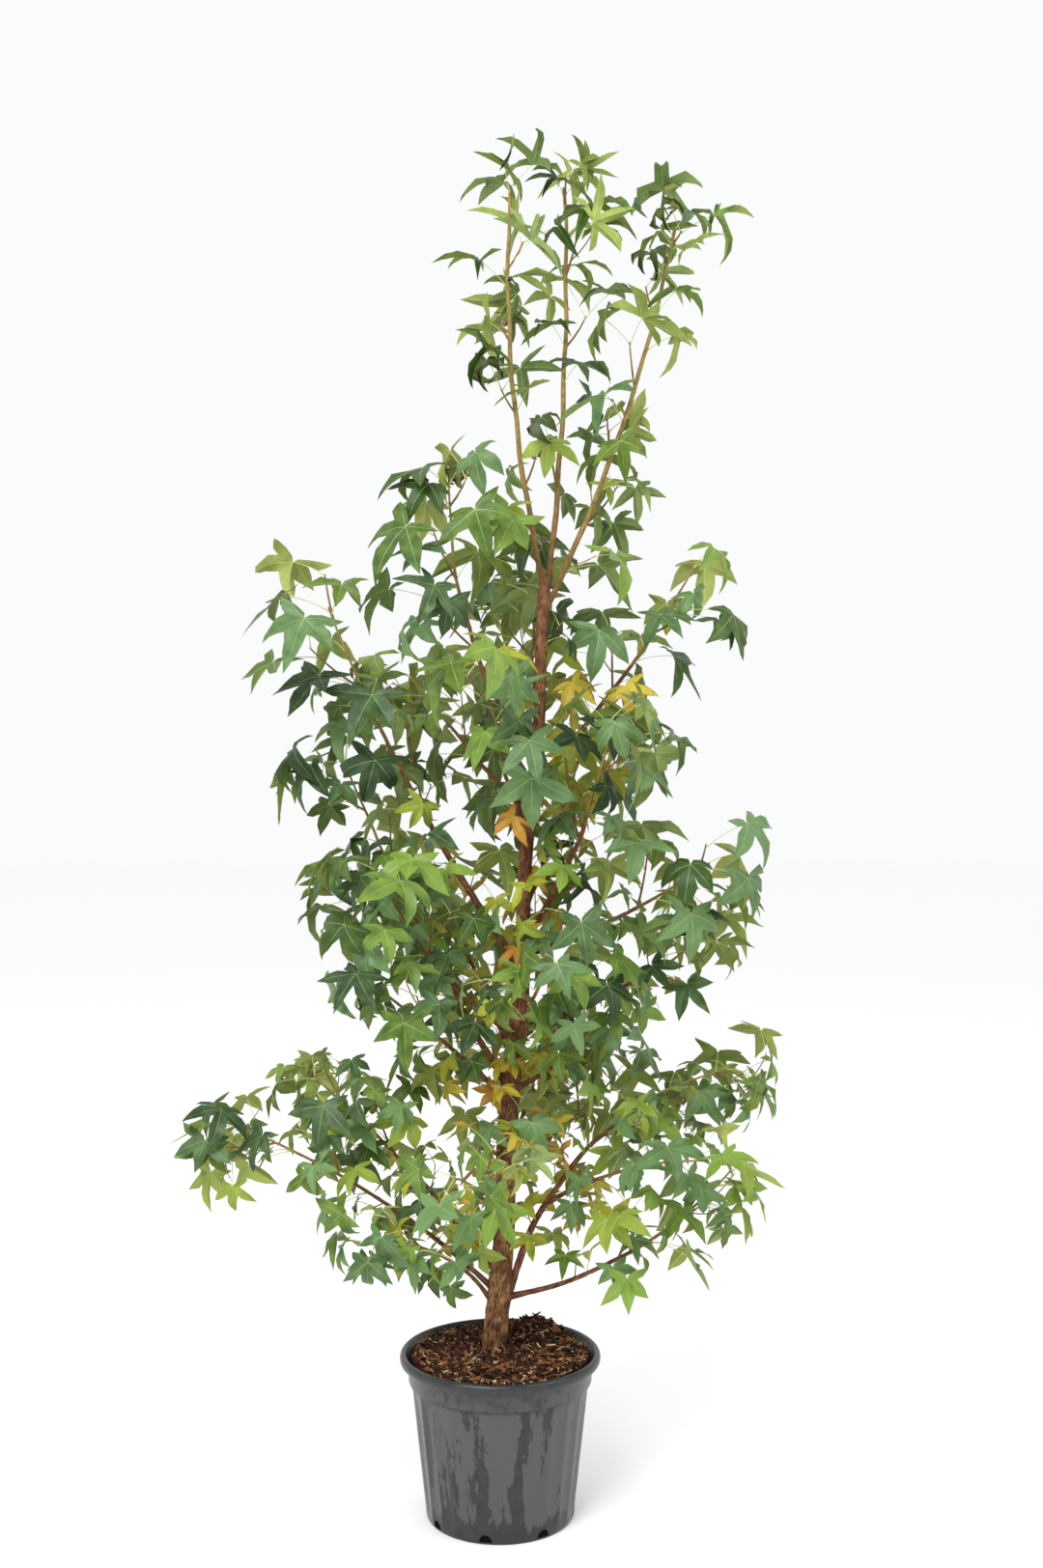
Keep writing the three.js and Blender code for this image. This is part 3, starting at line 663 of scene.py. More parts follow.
LIMBS = [
    limb("leader_left", 1.889, 200, (76, 94), 0.785, 0.0062, 0.13, 0.12, out=0.0068),
    limb("leader_middle", 1.889, 20, (83, 92), 0.790, 0.0066, 0.12, 0.15, out=0.0068),
    limb("leader_right", 1.815, -15, (62, 79), 0.805, 0.0065, 0.14, 0.15),
    limb("left_1", 1.516, 205, (50, 92), 0.596, 0.0075, 0.3, 0.25),
    limb("left_2", 1.095, 187, (55, 69), 0.830, 0.009, 0.34, 0.26),
    limb("left_3", 1.408, 150, (41, 49), 0.410, 0.006, 0.3, 0.35),
    limb("left_4", 0.849, 168, (57, 68), 0.760, 0.008, 0.36, 0.28),
    limb("left_5", 0.960, 196, (34, 66), 0.470, 0.0065, 0.35, 0.3),
    limb("left_6", 0.829, 205, (43, 38), 0.433, 0.0065, 0.38, 0.34),
    limb("left_7", 0.468, 172, (52, 40), 0.560, 0.0075, 0.44, 0.3),
    limb("left_8", 0.434, 196, (46, 24), 0.680, 0.006, 0.5, 0.24),
    limb("left_9", 0.400, 208, (62, 2), 0.345, 0.0055, 0.42, 0.45),
    limb("right_1", 0.424, -10, (12, 50), 0.560, 0.0065, 0.32, 0.3),
    limb("right_2", 0.352, 16, (84, 8), 0.770, 0.0095, 0.48, 0.26, out=0.017),
    limb("right_3", 0.36, -22, (34, 4), 0.370, 0.005, 0.4, 0.35, parent="right_2"),
    limb("right_4", 0.721, 35, (5, 46), 0.321, 0.006, 0.35, 0.5),
    limb("right_5", 0.849, -28, (26, 58), 0.330, 0.006, 0.36, 0.5),
    limb("right_6", 0.986, 18, (9, 34), 0.455, 0.007, 0.42, 0.32),
    limb("right_7", 1.124, -8, (18, 36), 0.425, 0.007, 0.4, 0.32),
    limb("right_8", 1.160, -48, (44, 78), 0.510, 0.0085, 0.34, 0.34),
    limb("right_9", 1.473, 10, (46, 60), 0.560, 0.007, 0.3, 0.24),
    limb("front_1", 0.560, -108, (42, 20), 0.360, 0.0065, 0.34, 0.45),
    limb("front_2", 0.905, -78, (45, 40), 0.380, 0.0065, 0.34, 0.45),
    limb("front_3", 1.345, -112, (48, 62), 0.380, 0.0065, 0.32, 0.42),
    limb("back_1", 0.640, 78, (38, 22), 0.480, 0.007, 0.36, 0.4),
    limb("back_2", 0.900, 118, (45, 38), 0.500, 0.007, 0.36, 0.38),
    limb("back_3", 1.215, 62, (48, 52), 0.480, 0.007, 0.34, 0.38),
    limb("back_4", 1.560, 95, (52, 70), 0.400, 0.006, 0.32, 0.35),
]


def heading(turn, rise):
    """Unit vectors at an azimuth and an elevation."""
    turn, rise = np.broadcast_arrays(turn, rise)
    level = np.cos(rise)
    return np.stack([level * np.cos(turn), level * np.sin(turn), np.sin(rise)], -1)


def unit(v):
    return v / np.linalg.norm(v, axis=-1, keepdims=True)


def trunk_axis(z):
    z = np.asarray(z, float)
    sway = SWAY * np.sin(2 * math.pi * (z - SWAY_FROM) / SWAY_WAVE)
    x = TRUNK_X + (z - GROUND) * math.tan(LEAN) + sway
    return np.stack([x, np.full_like(z, TRUNK_Y), z], -1)


class Arc:
    """A line that climbs at one angle at its root and another at its tip, with a slight sideways wave."""

    def __init__(self, root, turn, rise, tip_rise, length, wave=0.0):
        self.root, self.turn, self.rise, self.tip_rise = root, turn, rise, tip_rise
        self.length, self.wave = length, wave
        self.across = np.array([-math.sin(turn), math.cos(turn), 0.0])

    def point(self, t):
        t = np.asarray(t, float)
        half = (self.tip_rise - self.rise) * t / 2
        chord = self.length * t * np.sinc(half / math.pi)
        phase = 2 * math.pi * self.length * t / WAVE_LENGTH + self.turn
        swing = self.wave * (np.sin(phase) - math.sin(self.turn))
        way = heading(self.turn, self.rise + half)
        return self.root + way * chord[..., None] + self.across * swing[..., None]

    def tangent(self, t):
        t = np.asarray(t, float)
        phase = 2 * math.pi * self.length * t / WAVE_LENGTH + self.turn
        slope = 2 * math.pi * self.wave / WAVE_LENGTH * np.cos(phase)
        way = heading(self.turn, self.rise + (self.tip_rise - self.rise) * t)
        return unit(way + self.across * slope[..., None])

    def sideways(self, t, angle):
        """A direction square to the arc, turned round it by an angle."""
        over = unit(np.cross(self.tangent(t), self.across))
        return self.across * math.cos(angle) + over * math.sin(angle)


arcs = {}
for row in LIMBS:
    if row["parent"]:
        root = arcs[row["parent"]].point(row["start"])
    else:
        root = trunk_axis(row["start"]) + heading(row["turn"], 0.0) * row["out"]
    arcs[row["name"]] = Arc(root, row["turn"], *row["rise"], row["length"], WAVE_DEPTH)
print(len(arcs), "limbs, highest tip at", round(max(a.point(1.0)[2] for a in arcs.values()), 3), "m")

# %% [markdown]
# ## Bark
# Old sweetgum wood has corky bark, cracked into long upright plates; the young boughs are smoother,
# red-brown, and turn olive towards the tips. Trunk and limbs are tubes fine enough to carry these cracks as
# real relief. A tube starts as a capped cylinder whose sides are cut into rings, and every point is then
# moved to its place on the limb. Two attributes go with it: grain, the place on the unrolled bark, which the
# finish's noise follows round bends, and age, from 0 at a tip to 1 at the trunk's foot.

# %% Bark relief
PLATES = (150.0, 34.0, 0)  # how many to a metre round and along the stem, and a shift of the noise
BREAKS = (70, 75, 9)
GRAIN = (240, 120, 0)
RELIEF_YOUNG = 0.0002
RELIEF_OLD = 0.0015


def bark_noise(x, y, z, around, along, shift):
    return noise.noise(Vector((x * around, y * around, z * along + shift)))


def bark_relief(grain, age):
    """Height of the bark over its mean at each point, in metres."""
    height = np.empty(len(grain))
    for i, place in enumerate(grain):
        crack = max(0, 1 - abs(bark_noise(*place, *PLATES)) * 5.0)
        knots = max(0, 1 - abs(bark_noise(*place, *BREAKS)) * 7.0)
        height[i] = 0.35 - crack - 0.45 * knots + 0.8 * bark_noise(*place, *GRAIN)
    return height * (RELIEF_YOUNG + RELIEF_OLD * age**1.5)


def bark_tube(name, segments, rings, place, age_at):
    """A closed tube; place(share, angle) gives points, normals' directions and the radius there."""
    bm = bmesh.new()
    bmesh.ops.create_cone(bm, cap_ends=True, segments=segments, radius1=1, radius2=1, depth=1)
    uprights = [e for e in bm.edges if abs(e.verts[0].co.z - e.verts[1].co.z) > 0.5]
    bmesh.ops.subdivide_edges(bm, edges=uprights, cuts=rings - 1)
    mesh = mesh_of(bm, name, smooth_below=60)
    flat = np.empty(len(mesh.vertices) * 3)
    mesh.vertices.foreach_get("co", flat)
    x, y, z = flat.reshape(-1, 3).T
    share, angle = np.clip(z + 0.5, 0, 1), np.arctan2(y, x)
    centre, out, radius, along = place(share, angle)
    age = age_at(share)
    grain = np.stack([radius * np.cos(angle), radius * np.sin(angle), along], -1)
    points = centre + out * (radius + bark_relief(grain, age))[:, None]
    mesh.vertices.foreach_set("co", points.ravel())
    write_attribute(mesh, "grain", grain)
    write_attribute(mesh, "age", age)
    mesh.update()
    return mesh


def bark_finish():
    """Olive at the tips, red-brown boughs and a lighter trunk, with dark cracks and pale dots."""
    finish = Finish("bark", roughness=0.85, shine=0.15)
    grain = finish.attribute("grain", "Vector")
    age = finish.attribute("age")
    stretched = finish.node("ShaderNodeMapping", {"Vector": grain, "Scale": (1, 1, 0.28)}).outputs[0]
    cracks = finish.speckle(stretched, 240.0, 5.0, 0.65)
    patches = finish.speckle(grain, 42.0, 3.0)
    dots = finish.step(finish.speckle(grain, 520.0, 2.0), 0.66, 0.72)
    young = finish.blend(patches, 0.3, 0.7, "#8d8348", "#9c7c4a")
    middle = finish.blend(patches, 0.35, 0.7, "#6f4831", "#8f6647")
    old = finish.blend(patches, 0.35, 0.7, "#70482d", "#b0875d")
    wood = finish.mix(finish.step(age, 0.16, 0.34), young, middle)
    wood = finish.mix(finish.step(age, 0.55, 0.95), wood, old)
    dark = finish.blend(age, 0.1, 0.5, "#6a5a33", "#3a2117")
    wood = finish.mix(finish.times(finish.step(cracks, 0.56, 0.38), 0.82), wood, dark)
    pale = finish.times(dots, finish.step(age, 0.8, 0.3))
    finish.paint("Base Color", finish.over(wood, pale, 0.6, "#b99c78"))
    finish.bump(cracks, 0.55, 0.0016)
    return finish.material


bark = bark_finish()

# %% [markdown]
# ### The trunk
# It rises from the mulch with five low root ridges, leans a little to the right, and swells slightly under
# each bough that leaves it.

# %% The trunk
TRUNK_SEGMENTS = 44
TRUNK_RINGS = 260
RINGS_LOW = 1.1  # above 1, rings stand closer at the foot
FLARE_DEPTH = 0.10
FLARE_RIDGES = 5
FLARE_HEIGHT = 0.060
COLLAR_SWELL = 0.30  # how much thicker than itself a bough is where it meets the trunk
COLLAR_REACH = 0.016


def trunk_place(share, angle):
    rise = (FORK - GROUND) * share**RINGS_LOW
    keys, radii = zip(*TRUNK_TAPER)
    flare = FLARE_DEPTH * np.exp(-rise / FLARE_HEIGHT)
    radius = np.interp(rise, keys, radii) * (1 + flare * np.cos(FLARE_RIDGES * angle))
    for row in LIMBS:
        if not row["parent"] and row["start"] < FORK - 0.05:
            level = np.exp(-(((rise + GROUND - row["start"]) / COLLAR_REACH) ** 2))
            facing = np.maximum(np.cos(angle - row["turn"]), 0) ** 2
            radius = radius + COLLAR_SWELL * row["radius"] * level * facing
    return trunk_axis(GROUND + rise), heading(angle, 0.0), radius, rise


def trunk_age(share):
    return np.clip(1.0 - 0.62 * share, 0, 1)


trunk_mesh = bark_tube("trunk_bark", TRUNK_SEGMENTS, TRUNK_RINGS, trunk_place, trunk_age)
limb_meshes = [trunk_mesh]
add_piece("trunk_bark", trunk_mesh, [bark], ["trunk"])

# %% [markdown]
# ### The leaders and boughs
# Each limb is one tube from inside the trunk to its tip, so the bough runs on as the stem of its spray of
# leaves. Its foot swells into a collar where it leaves the trunk.

# %% The leaders and boughs
LIMB_SEGMENTS = 12
RING_LENGTH = 0.0075
LEADER_TIP = 0.0036
STEM_TIP = 0.0018
COLLAR_AT = 0.022
OLD_RADIUS = 0.0065  # limbs thinner than this look younger


def is_leader(row):
    return row["name"].startswith("leader")


def limb_radius(row, t):
    tip = LEADER_TIP if is_leader(row) else STEM_TIP
    return row["radius"] + (tip - row["radius"]) * np.asarray(t, float) ** 0.8


def along_arc(arc, radius_at):
    """How a tube is placed on an arc."""

    def place(share, angle):
        tangent = arc.tangent(share)
        over = unit(np.cross(np.broadcast_to(arc.across, tangent.shape), tangent))
        side = np.cross(tangent, over)
        out = side * np.cos(angle)[:, None] + over * np.sin(angle)[:, None]
        return arc.point(share), out, radius_at(share), share * arc.length

    return place


def limb_mesh(row):
    arc = arcs[row["name"]]
    rings = round(row["length"] / RING_LENGTH)
    swell, oldest = (0.0, 0.30) if is_leader(row) else (COLLAR_SWELL, 0.62)

    def radius_at(t):
        collar = swell * np.exp(-(((t * row["length"] - COLLAR_AT) / COLLAR_REACH) ** 2))
        return limb_radius(row, t) * (1 + collar)

    def age_at(t):
        return oldest * (1 - 0.9 * t) * min(1.0, row["radius"] / OLD_RADIUS)

    return bark_tube(row["name"] + "_bark", LIMB_SEGMENTS, rings, along_arc(arc, radius_at), age_at)


for row in LIMBS:
    node = row["name"] if is_leader(row) else "bough_" + row["name"]
    limb_meshes.append(limb_mesh(row))
    add_piece(node + "_bark", limb_meshes[-1], [bark], [node])

# %% [markdown]
# ## Buds, twigs and finer twigs
# Buds sit along a shoot at even steps, each turned from the last by the golden angle, as on a real sweetgum.
# Some buds of a limb carry a side twig. Of a twig's buds every second one carries a finer twig, and in the
# dense lower crown every one does, where the buds that may bear leaves also stand in pairs. The dice are a
# hash of limb, twig, bud and purpose, so they fall the same way in any order and match those of the frame.

# %% Buds and dice
BUD_STEP = 0.036
FIRST_BUD = 0.012
TIP_ROOM = 0.026
TIP_SPACE = 0.007
TIP_BUD = 90
SECOND_BUD = 50
TWIG_EVERY = 4
GOLDEN = math.radians(137.5)
TWIG_ROOT = 0.0026
TWIG_TIP = 0.0015
FINE_LENGTH = 0.075
FINE_TWIG_ID = 300
# Of a shoot's first direction, how much runs along its parent and how much up, and how far it then bends up.
TWIG_WAY = (1.0, 0.15, 0.3)
FINE_WAY = (0.8, 0.25, 0.4)
STEEPEST = 1.5
DENSE_BELOW = 1.25  # metres
HASH = (12.9898, 78.233, 37.719, 4.581)
# What the dice of a shoot are rolled for.
FOR_SIDE, FOR_LENGTH, FOR_FINE_SIDE, FOR_FIRST_SIDE, FOR_FINE_LENGTH = 6, 7, 8, 9, 10


def roll(limb_no, twig, bud, purpose):
    """A repeatable number from 0 to 1."""
    total = sum(a * b for a, b in zip(HASH, (limb_no, twig, bud, purpose))) + 3.7
    x = math.sin(total) * 43758.5453
    return x - math.floor(x)


def varied(length, die):
    """A length, up to three tenths shorter or longer."""
    return length * (0.7 + 0.6 * die)


def side_angle(bud, die):
    """How far a bud is turned round its shoot: a golden angle on from the last, from a random start."""
    return GOLDEN * bud + 2 * math.pi * die


def side_shoot(line, t, angle, length, onward, upward, bend):
    """A shoot that leaves a line at t and climbs more steeply towards its tip."""
    way = unit(line.tangent(t) * onward + line.sideways(t, angle) + UP * upward)
    rise = math.asin(way[2])
    return Arc(line.point(t), math.atan2(way[1], way[0]), rise, min(rise + bend, STEEPEST), length)


def buds_along(length, first):
    count = math.floor((length - first - TIP_ROOM) / BUD_STEP) + 1
    return [(first + i * BUD_STEP) / length for i in range(max(count, 0))]


def twig_at(row, limb_no, t, bud, share):
    angle = side_angle(bud, roll(limb_no, 0, bud, FOR_SIDE))
    length = varied(row["length"] * row["twigs"] * (1 - 0.5 * share), roll(limb_no, 0, bud, FOR_LENGTH))
    return side_shoot(arcs[row["name"]], t, angle, length, *TWIG_WAY)


def fine_twig_at(twig, t, limb_no, twig_no, i):
    angle = side_angle(i, roll(limb_no, twig_no, i, FOR_FINE_SIDE))
    length = varied(FINE_LENGTH, roll(limb_no, twig_no, i, FOR_FINE_LENGTH))
    return side_shoot(twig, t, angle, length, *FINE_WAY)


# %% Every shoot and every bud that bears a leaf
shoots = []  # (arc, root radius)
parents = []  # (finer twig, the twig that it stands on)
posts = []  # (arc, t, limb number, twig number, bud, is it one of the frame's)


def add_bud(line, t, limb_no, twig_no, bud, in_frame):
    """A bud that may bear a leaf, with a second one beside it where the crown is dense."""
    posts.append((line, t, limb_no, twig_no, bud, in_frame))
    if line.point(t)[2] < DENSE_BELOW:
        posts.append((line, t, limb_no, twig_no, bud + SECOND_BUD, False))


def add_tip_buds(line, count, spacing, limb_no, twig_no, in_frame):
    """Buds close together at a shoot's tip."""
    for i in range(count):
        t = 1 - TIP_SPACE * (spacing * i + 0.5) / line.length
        posts.append((line, t, limb_no, twig_no, TIP_BUD + i, in_frame))


for limb_no, row in enumerate(LIMBS):
    arc = arcs[row["name"]]
    buds = buds_along(row["length"], row["length"] * row["bare"] + FIRST_BUD)
    for bud, t in enumerate(buds):
        add_bud(arc, t, limb_no, 0, bud, bud % 2 == 0)
        if bud % TWIG_EVERY != TWIG_EVERY // 2:
            continue
        twig = twig_at(row, limb_no, t, bud, bud / len(buds))
        shoots.append((twig, TWIG_ROOT))
        for i, s in enumerate(buds_along(twig.length, BUD_STEP)):
            add_bud(twig, s, limb_no, bud + 1, i + 1, i % 2 == 1)
            if i % 2 == 0 or twig.point(s)[2] < DENSE_BELOW:
                fine = fine_twig_at(twig, s, limb_no, bud + 1, i)
                shoots.append((fine, TWIG_TIP))
                parents.append((fine, twig))
                add_tip_buds(fine, 3, 2, limb_no, FINE_TWIG_ID + 10 * bud + i, False)
        add_tip_buds(twig, 2, 1, limb_no, bud + 1, True)
    add_tip_buds(arc, 3, 1, limb_no, 0, True)

# %% [markdown]
# ### Spurs
# The insides of the crown aren't bare: short spurs with two or three leaves stand on the trunk and on the
# lower parts of the boughs. They are shoots like any other, only shorter, on their own row of buds.

# %% Spurs
SPUR_LENGTHS = (0.018, 0.070)
SPUR_WAY = (0.5, 0.2, 0.3)
SPUR_LIMB = 40
SPUR_FROM = 0.58
SPUR_FIRST = 0.045
SPUR_STEP = 0.030
SPUR_LEAVES = 3
SPUR_LEAF_STEP = 0.2


def add_spur(line, t, number, bud):
    """A short shoot with leaves at its tip."""
    low, high = SPUR_LENGTHS
    length = low + (high - low) * roll(number, 0, bud, FOR_LENGTH)
    spur = side_shoot(line, t, side_angle(bud, roll(number, 0, bud, FOR_SIDE)), length, *SPUR_WAY)
    shoots.append((spur, TWIG_TIP))
    for i in range(SPUR_LEAVES):
        posts.append((spur, 1 - SPUR_LEAF_STEP * i, number, bud + 1, TIP_BUD + i, False))


trunk_line = Arc(trunk_axis(SPUR_FROM), 0.0, math.pi / 2 - LEAN, math.pi / 2 - LEAN, FORK - SPUR_FROM)
for bud in range(int(trunk_line.length / SPUR_STEP)):
    add_spur(trunk_line, (bud + 0.5) * SPUR_STEP / trunk_line.length, SPUR_LIMB, bud)
for limb_no, row in enumerate(LIMBS):
    bare = row["length"] * row["bare"]
    for bud, at in enumerate(np.arange(SPUR_FIRST, bare, SPUR_STEP)):
        add_spur(arcs[row["name"]], at / row["length"], SPUR_LIMB + 1 + limb_no, bud)
print(len(shoots), "twigs,", len(posts), "buds that may bear a leaf")

# %% [markdown]
# ### Twigs as one mesh
# A twig is a six-sided tube of a few rings. All twigs are gathered in lists, which first tell the leaves
# where wood is. The piece is made once the leaves are placed, from the twigs that bear some.

# %% Twigs as one mesh
FOLIAGE = ["foliage_" + row["name"] for row in LIMBS]
TWIG_SIDES = 6
TWIG_RING = 0.02
FINE_TIP = 0.0011
TWIG_AGE = 0.26
FINE_AGE = 0.16
STEADY = np.array([0.3, 0.2, 0.93])  # a direction that few twigs have, to set their sides by
STEADY_FOR_UPRIGHT = np.array([0.93, 0.3, 0.2])


class Bundle:
    """Tubes gathered into one mesh."""

    def __init__(self):
        self.points, self.faces, self.ages, self.grain = [], [], [], []

    def add(self, line, radii, sides, age):
        """One closed tube along the points of line."""
        base = len(self.points)
        tangent = unit(np.gradient(line, axis=0))
        side = unit(np.cross(tangent, STEADY if abs(tangent[0][2]) < 0.8 else STEADY_FOR_UPRIGHT))
        over = np.cross(tangent, side)
        rings = len(line)
        step = np.concatenate([[0], np.cumsum(np.linalg.norm(np.diff(line, axis=0), axis=1))])
        for k in range(rings):
            for j in range(sides):
                a = 2 * math.pi * j / sides
                out = side[k] * math.cos(a) + over[k] * math.sin(a)
                self.points.append(tuple(line[k] + out * radii[k]))
                self.grain.append((radii[k] * math.cos(a) + base * 0.01, radii[k] * math.sin(a), step[k]))
                self.ages.append(age)
        for k in range(rings - 1):
            for j in range(sides):
                a, b = base + k * sides + j, base + k * sides + (j + 1) % sides
                self.faces.append((a, b, b + sides, a + sides))
        self.faces.append(tuple(base + j for j in reversed(range(sides))))
        self.faces.append(tuple(base + (rings - 1) * sides + j for j in range(sides)))

    def mesh(self, name):
        mesh = bpy.data.meshes.new(name)
        mesh.from_pydata(self.points, [], self.faces)
        write_attribute(mesh, "grain", self.grain)
        write_attribute(mesh, "age", self.ages)
        shade(mesh, 70)
        return mesh


def twig_bundle(chosen):
    """The tubes of some shoots."""
    bundle = Bundle()
    for shoot, root_radius in chosen:
        shares = np.linspace(0, 1, max(4, round(shoot.length / TWIG_RING)))
        tip_radius, age = (TWIG_TIP, TWIG_AGE) if root_radius > TWIG_TIP else (FINE_TIP, FINE_AGE)
        radii = root_radius + (tip_radius - root_radius) * shares
        bundle.add(shoot.point(shares), radii, TWIG_SIDES, age)
    return bundle


all_twigs = twig_bundle(shoots)

# %% [markdown]
# ## The leaf
# A sweetgum leaf is a star of five pointed lobes. One lobe is a small grid, two faces wide and three or four
# long: its middle column is the vein, its sides are the margin, and its near end runs from the leaf's middle
# to the notches between lobes. Merging doubles joins the five grids where they meet. The grid's own
# coordinates stay with the blade, so its finish can draw veins without more faces.

# %% The flat leaf
LOBE_ANGLES = np.radians([0, 60, -60, 118, -118])
LOBE_REACH = np.array([1.04, 0.97, 0.97, 0.68, 0.68])
LOBE_MARGINS = [[1.0, 1.14, 0.86, 0.34, 0.0]] * 3 + [[1.0, 1.08, 0.54, 0.0]] * 2
LOBE_ROWS = {5: [0.0, 0.25, 0.52, 0.79, 1.0], 4: [0.0, 0.36, 0.72, 1.0]}
NOTCHES = [(math.radians(29), 0.39), (math.radians(90), 0.35), (math.radians(160), 0.12)]
CORNERS_MEET = 1e-4
NEAR = 1e-3


def notch_point(k, side):
    """The notch on one side (1 or -1) of lobe k, as its distance along the lobe's vein and off it."""
    number = abs(round(math.degrees(LOBE_ANGLES[k]) / 60))
    if number and side * LOBE_ANGLES[k] < 0:
        number -= 1
    angle, reach = NOTCHES[number]
    gap = abs(angle - abs(LOBE_ANGLES[k]))
    return reach * math.cos(gap), side * reach * math.sin(gap)


def lobe_point(k, side, share):
    """Along and off the vein of lobe k: side -1, 0 or 1 of it, share from the middle to the tip."""
    margins = LOBE_MARGINS[k]
    row = round(share * (len(margins) - 1))
    share = LOBE_ROWS[len(margins)][row]
    if side == 0:
        return LOBE_REACH[k] * share, 0.0
    along, off = notch_point(k, side)
    return along + (LOBE_REACH[k] - along) * share, off * margins[row]


def split_through_inner_corner(bm):
    """Splits the faces that have only one corner inside the rim."""
    for face in [f for f in bm.faces if sum(v.is_boundary for v in f.verts) == 3 and len(f.verts) == 4]:
        corners = list(face.verts)
        inner = next(i for i, v in enumerate(corners) if not v.is_boundary)
        bmesh.utils.face_split(face, corners[inner], corners[inner - 2])


def flat_leaf():
    """The points of a flat leaf, its faces, their texture coordinates and which points are on its rim."""
    bm = bmesh.new()
    uv = bm.loops.layers.uv.new("blade")
    for k, turn in enumerate(LOBE_ANGLES):
        grid = bmesh.ops.create_grid(bm, x_segments=2, y_segments=len(LOBE_MARGINS[k]) - 1, size=1)["verts"]
        for face in {f for v in grid for f in v.link_faces}:
            for corner in face.loops:
                corner[uv].uv = ((corner.vert.co.x + 1) / 2, (corner.vert.co.y + 1) / 2)
        for v in grid:
            along, off = lobe_point(k, round(v.co.x), (v.co.y + 1) / 2)
            c, s = math.cos(turn), math.sin(turn)
            v.co = (c * along - s * off, s * along + c * off, 0)
    bmesh.ops.remove_doubles(bm, verts=bm.verts, dist=CORNERS_MEET)
    bmesh.ops.recalc_face_normals(bm, faces=bm.faces)
    if sum(f.normal.z for f in bm.faces) < 0:
        bmesh.ops.reverse_faces(bm, faces=bm.faces)
    split_through_inner_corner(bm)
    bm.verts.index_update()
    points = np.array([v.co[:] for v in bm.verts])
    faces = [tuple(v.index for v in f.verts) for f in bm.faces]
    coordinates = [[corner[uv].uv[:] for corner in f.loops] for f in bm.faces]
    rim = np.array([v.is_boundary for v in bm.verts])
    bm.free()
    return points, faces, coordinates, rim


flat_points, top_faces, top_uv, flat_rim = flat_leaf()

# %% [markdown]
# ### Its underside
# A closed blade needs a second skin. Points inside the rim are doubled, one for each side, and each underside
# face lists the corners of its upper face the other way round, from the same first corner, so that both are
# split along the same diagonal when they bend. The faces round the middle have only one corner inside the
# rim. They were split through it, since a triangle of rim points alone would be the same one in both skins.

# %% Its underside
under_of = np.where(flat_rim, np.arange(len(flat_points)), len(flat_points) + np.cumsum(~flat_rim) - 1)
leaf_points = np.vstack([flat_points, flat_points[~flat_rim]])
leaf_side = np.concatenate([np.where(flat_rim, 0, 1), np.full((~flat_rim).sum(), -1)])
leaf_faces = top_faces + [tuple(int(under_of[i]) for i in (f[0], *reversed(f[1:]))) for f in top_faces]
leaf_uv = top_uv + [[c[0], *reversed(c[1:])] for c in top_uv]
leaf_slots = [0] * len(top_faces) + [1] * len(top_faces)
print("leaf:", len(leaf_points), "points,", len(leaf_faces), "faces")


def crease_table():
    """For each pair of points, whether the edge between them is a crease: the rim, a vein or a notch line."""
    table = np.zeros((len(leaf_points), len(leaf_points)), bool)
    polar = np.arctan2(leaf_points[:, 1], leaf_points[:, 0])
    on_vein = np.abs(np.sin((polar[:, None] - LOBE_ANGLES) / 2)).min(1) < NEAR
    on_vein |= np.hypot(*leaf_points[:, :2].T) < NEAR
    table[np.ix_(on_vein, on_vein)] = True
    rim = np.flatnonzero(leaf_side == 0)
    table[np.ix_(rim, rim)] = True
    return table


creases = crease_table()

# %% [markdown]
# ### Bending a leaf
# Each lobe starts at a slant, curls down along its vein and is folded up along it. Points are known by their
# distance along and off the nearest vein. A notch belongs to two lobes at once, so its place is the mean of
# what both say.

# %% Bending a leaf
BLADE_THICKNESS = 0.010


def nearest_lobes(points):
    """For each point its two nearest lobes, its distance along and off their veins, and their weights."""
    gap = np.arctan2(points[:, 1], points[:, 0])[:, None] - LOBE_ANGLES
    gap = (gap + math.pi) % (2 * math.pi) - math.pi
    reach = np.hypot(points[:, 0], points[:, 1])[:, None]
    order = np.argsort(np.abs(gap), axis=1)[:, :2]
    rows = np.arange(len(points))[:, None]
    between = np.isclose(reach[:, 0, None], [n[1] for n in NOTCHES[:2]], atol=NEAR).any(1)
    weights = np.where(between[:, None], 0.5, [[1.0, 0.0]])
    return order, (reach * np.cos(gap))[rows, order], (reach * np.sin(gap))[rows, order], weights, between


lobe_of, lobe_along, lobe_off, lobe_weight, is_notch = nearest_lobes(leaf_points)


def bend_leaf(leaf):
    """The points of one leaf in place. Its lists slant, curl, fold, spread and reach are per lobe."""
    curl, fold, slant = leaf["curl"][lobe_of], leaf["fold"][lobe_of], leaf["slant"][lobe_of]
    angle = LOBE_ANGLES[lobe_of] + leaf["spread"][lobe_of]
    deep = np.where(is_notch, leaf["notch"], 1.0)[:, None]
    distance = lobe_along * leaf["reach"][lobe_of] * deep
    off = lobe_off * leaf["width"] * deep * leaf["edge"][:, None]
    phi = curl * distance - slant
    height = np.abs(off) * np.sin(fold) + leaf_side[:, None] * BLADE_THICKNESS / 2 + leaf["ripple"][:, None]
    side = off * np.cos(fold)
    ahead = (np.sin(phi) + np.sin(slant)) / curl + np.sin(phi) * height
    local = np.stack(
        [
            ahead * np.cos(angle) - side * np.sin(angle),
            ahead * np.sin(angle) + side * np.cos(angle),
            (np.cos(phi) - np.cos(slant)) / curl + np.cos(phi) * height,
        ],
        -1,
    )
    local = (local * lobe_weight[..., None]).sum(1) * leaf["length"]
    return leaf["centre"] + local @ np.stack([leaf["along"], leaf["across"], leaf["up"]])


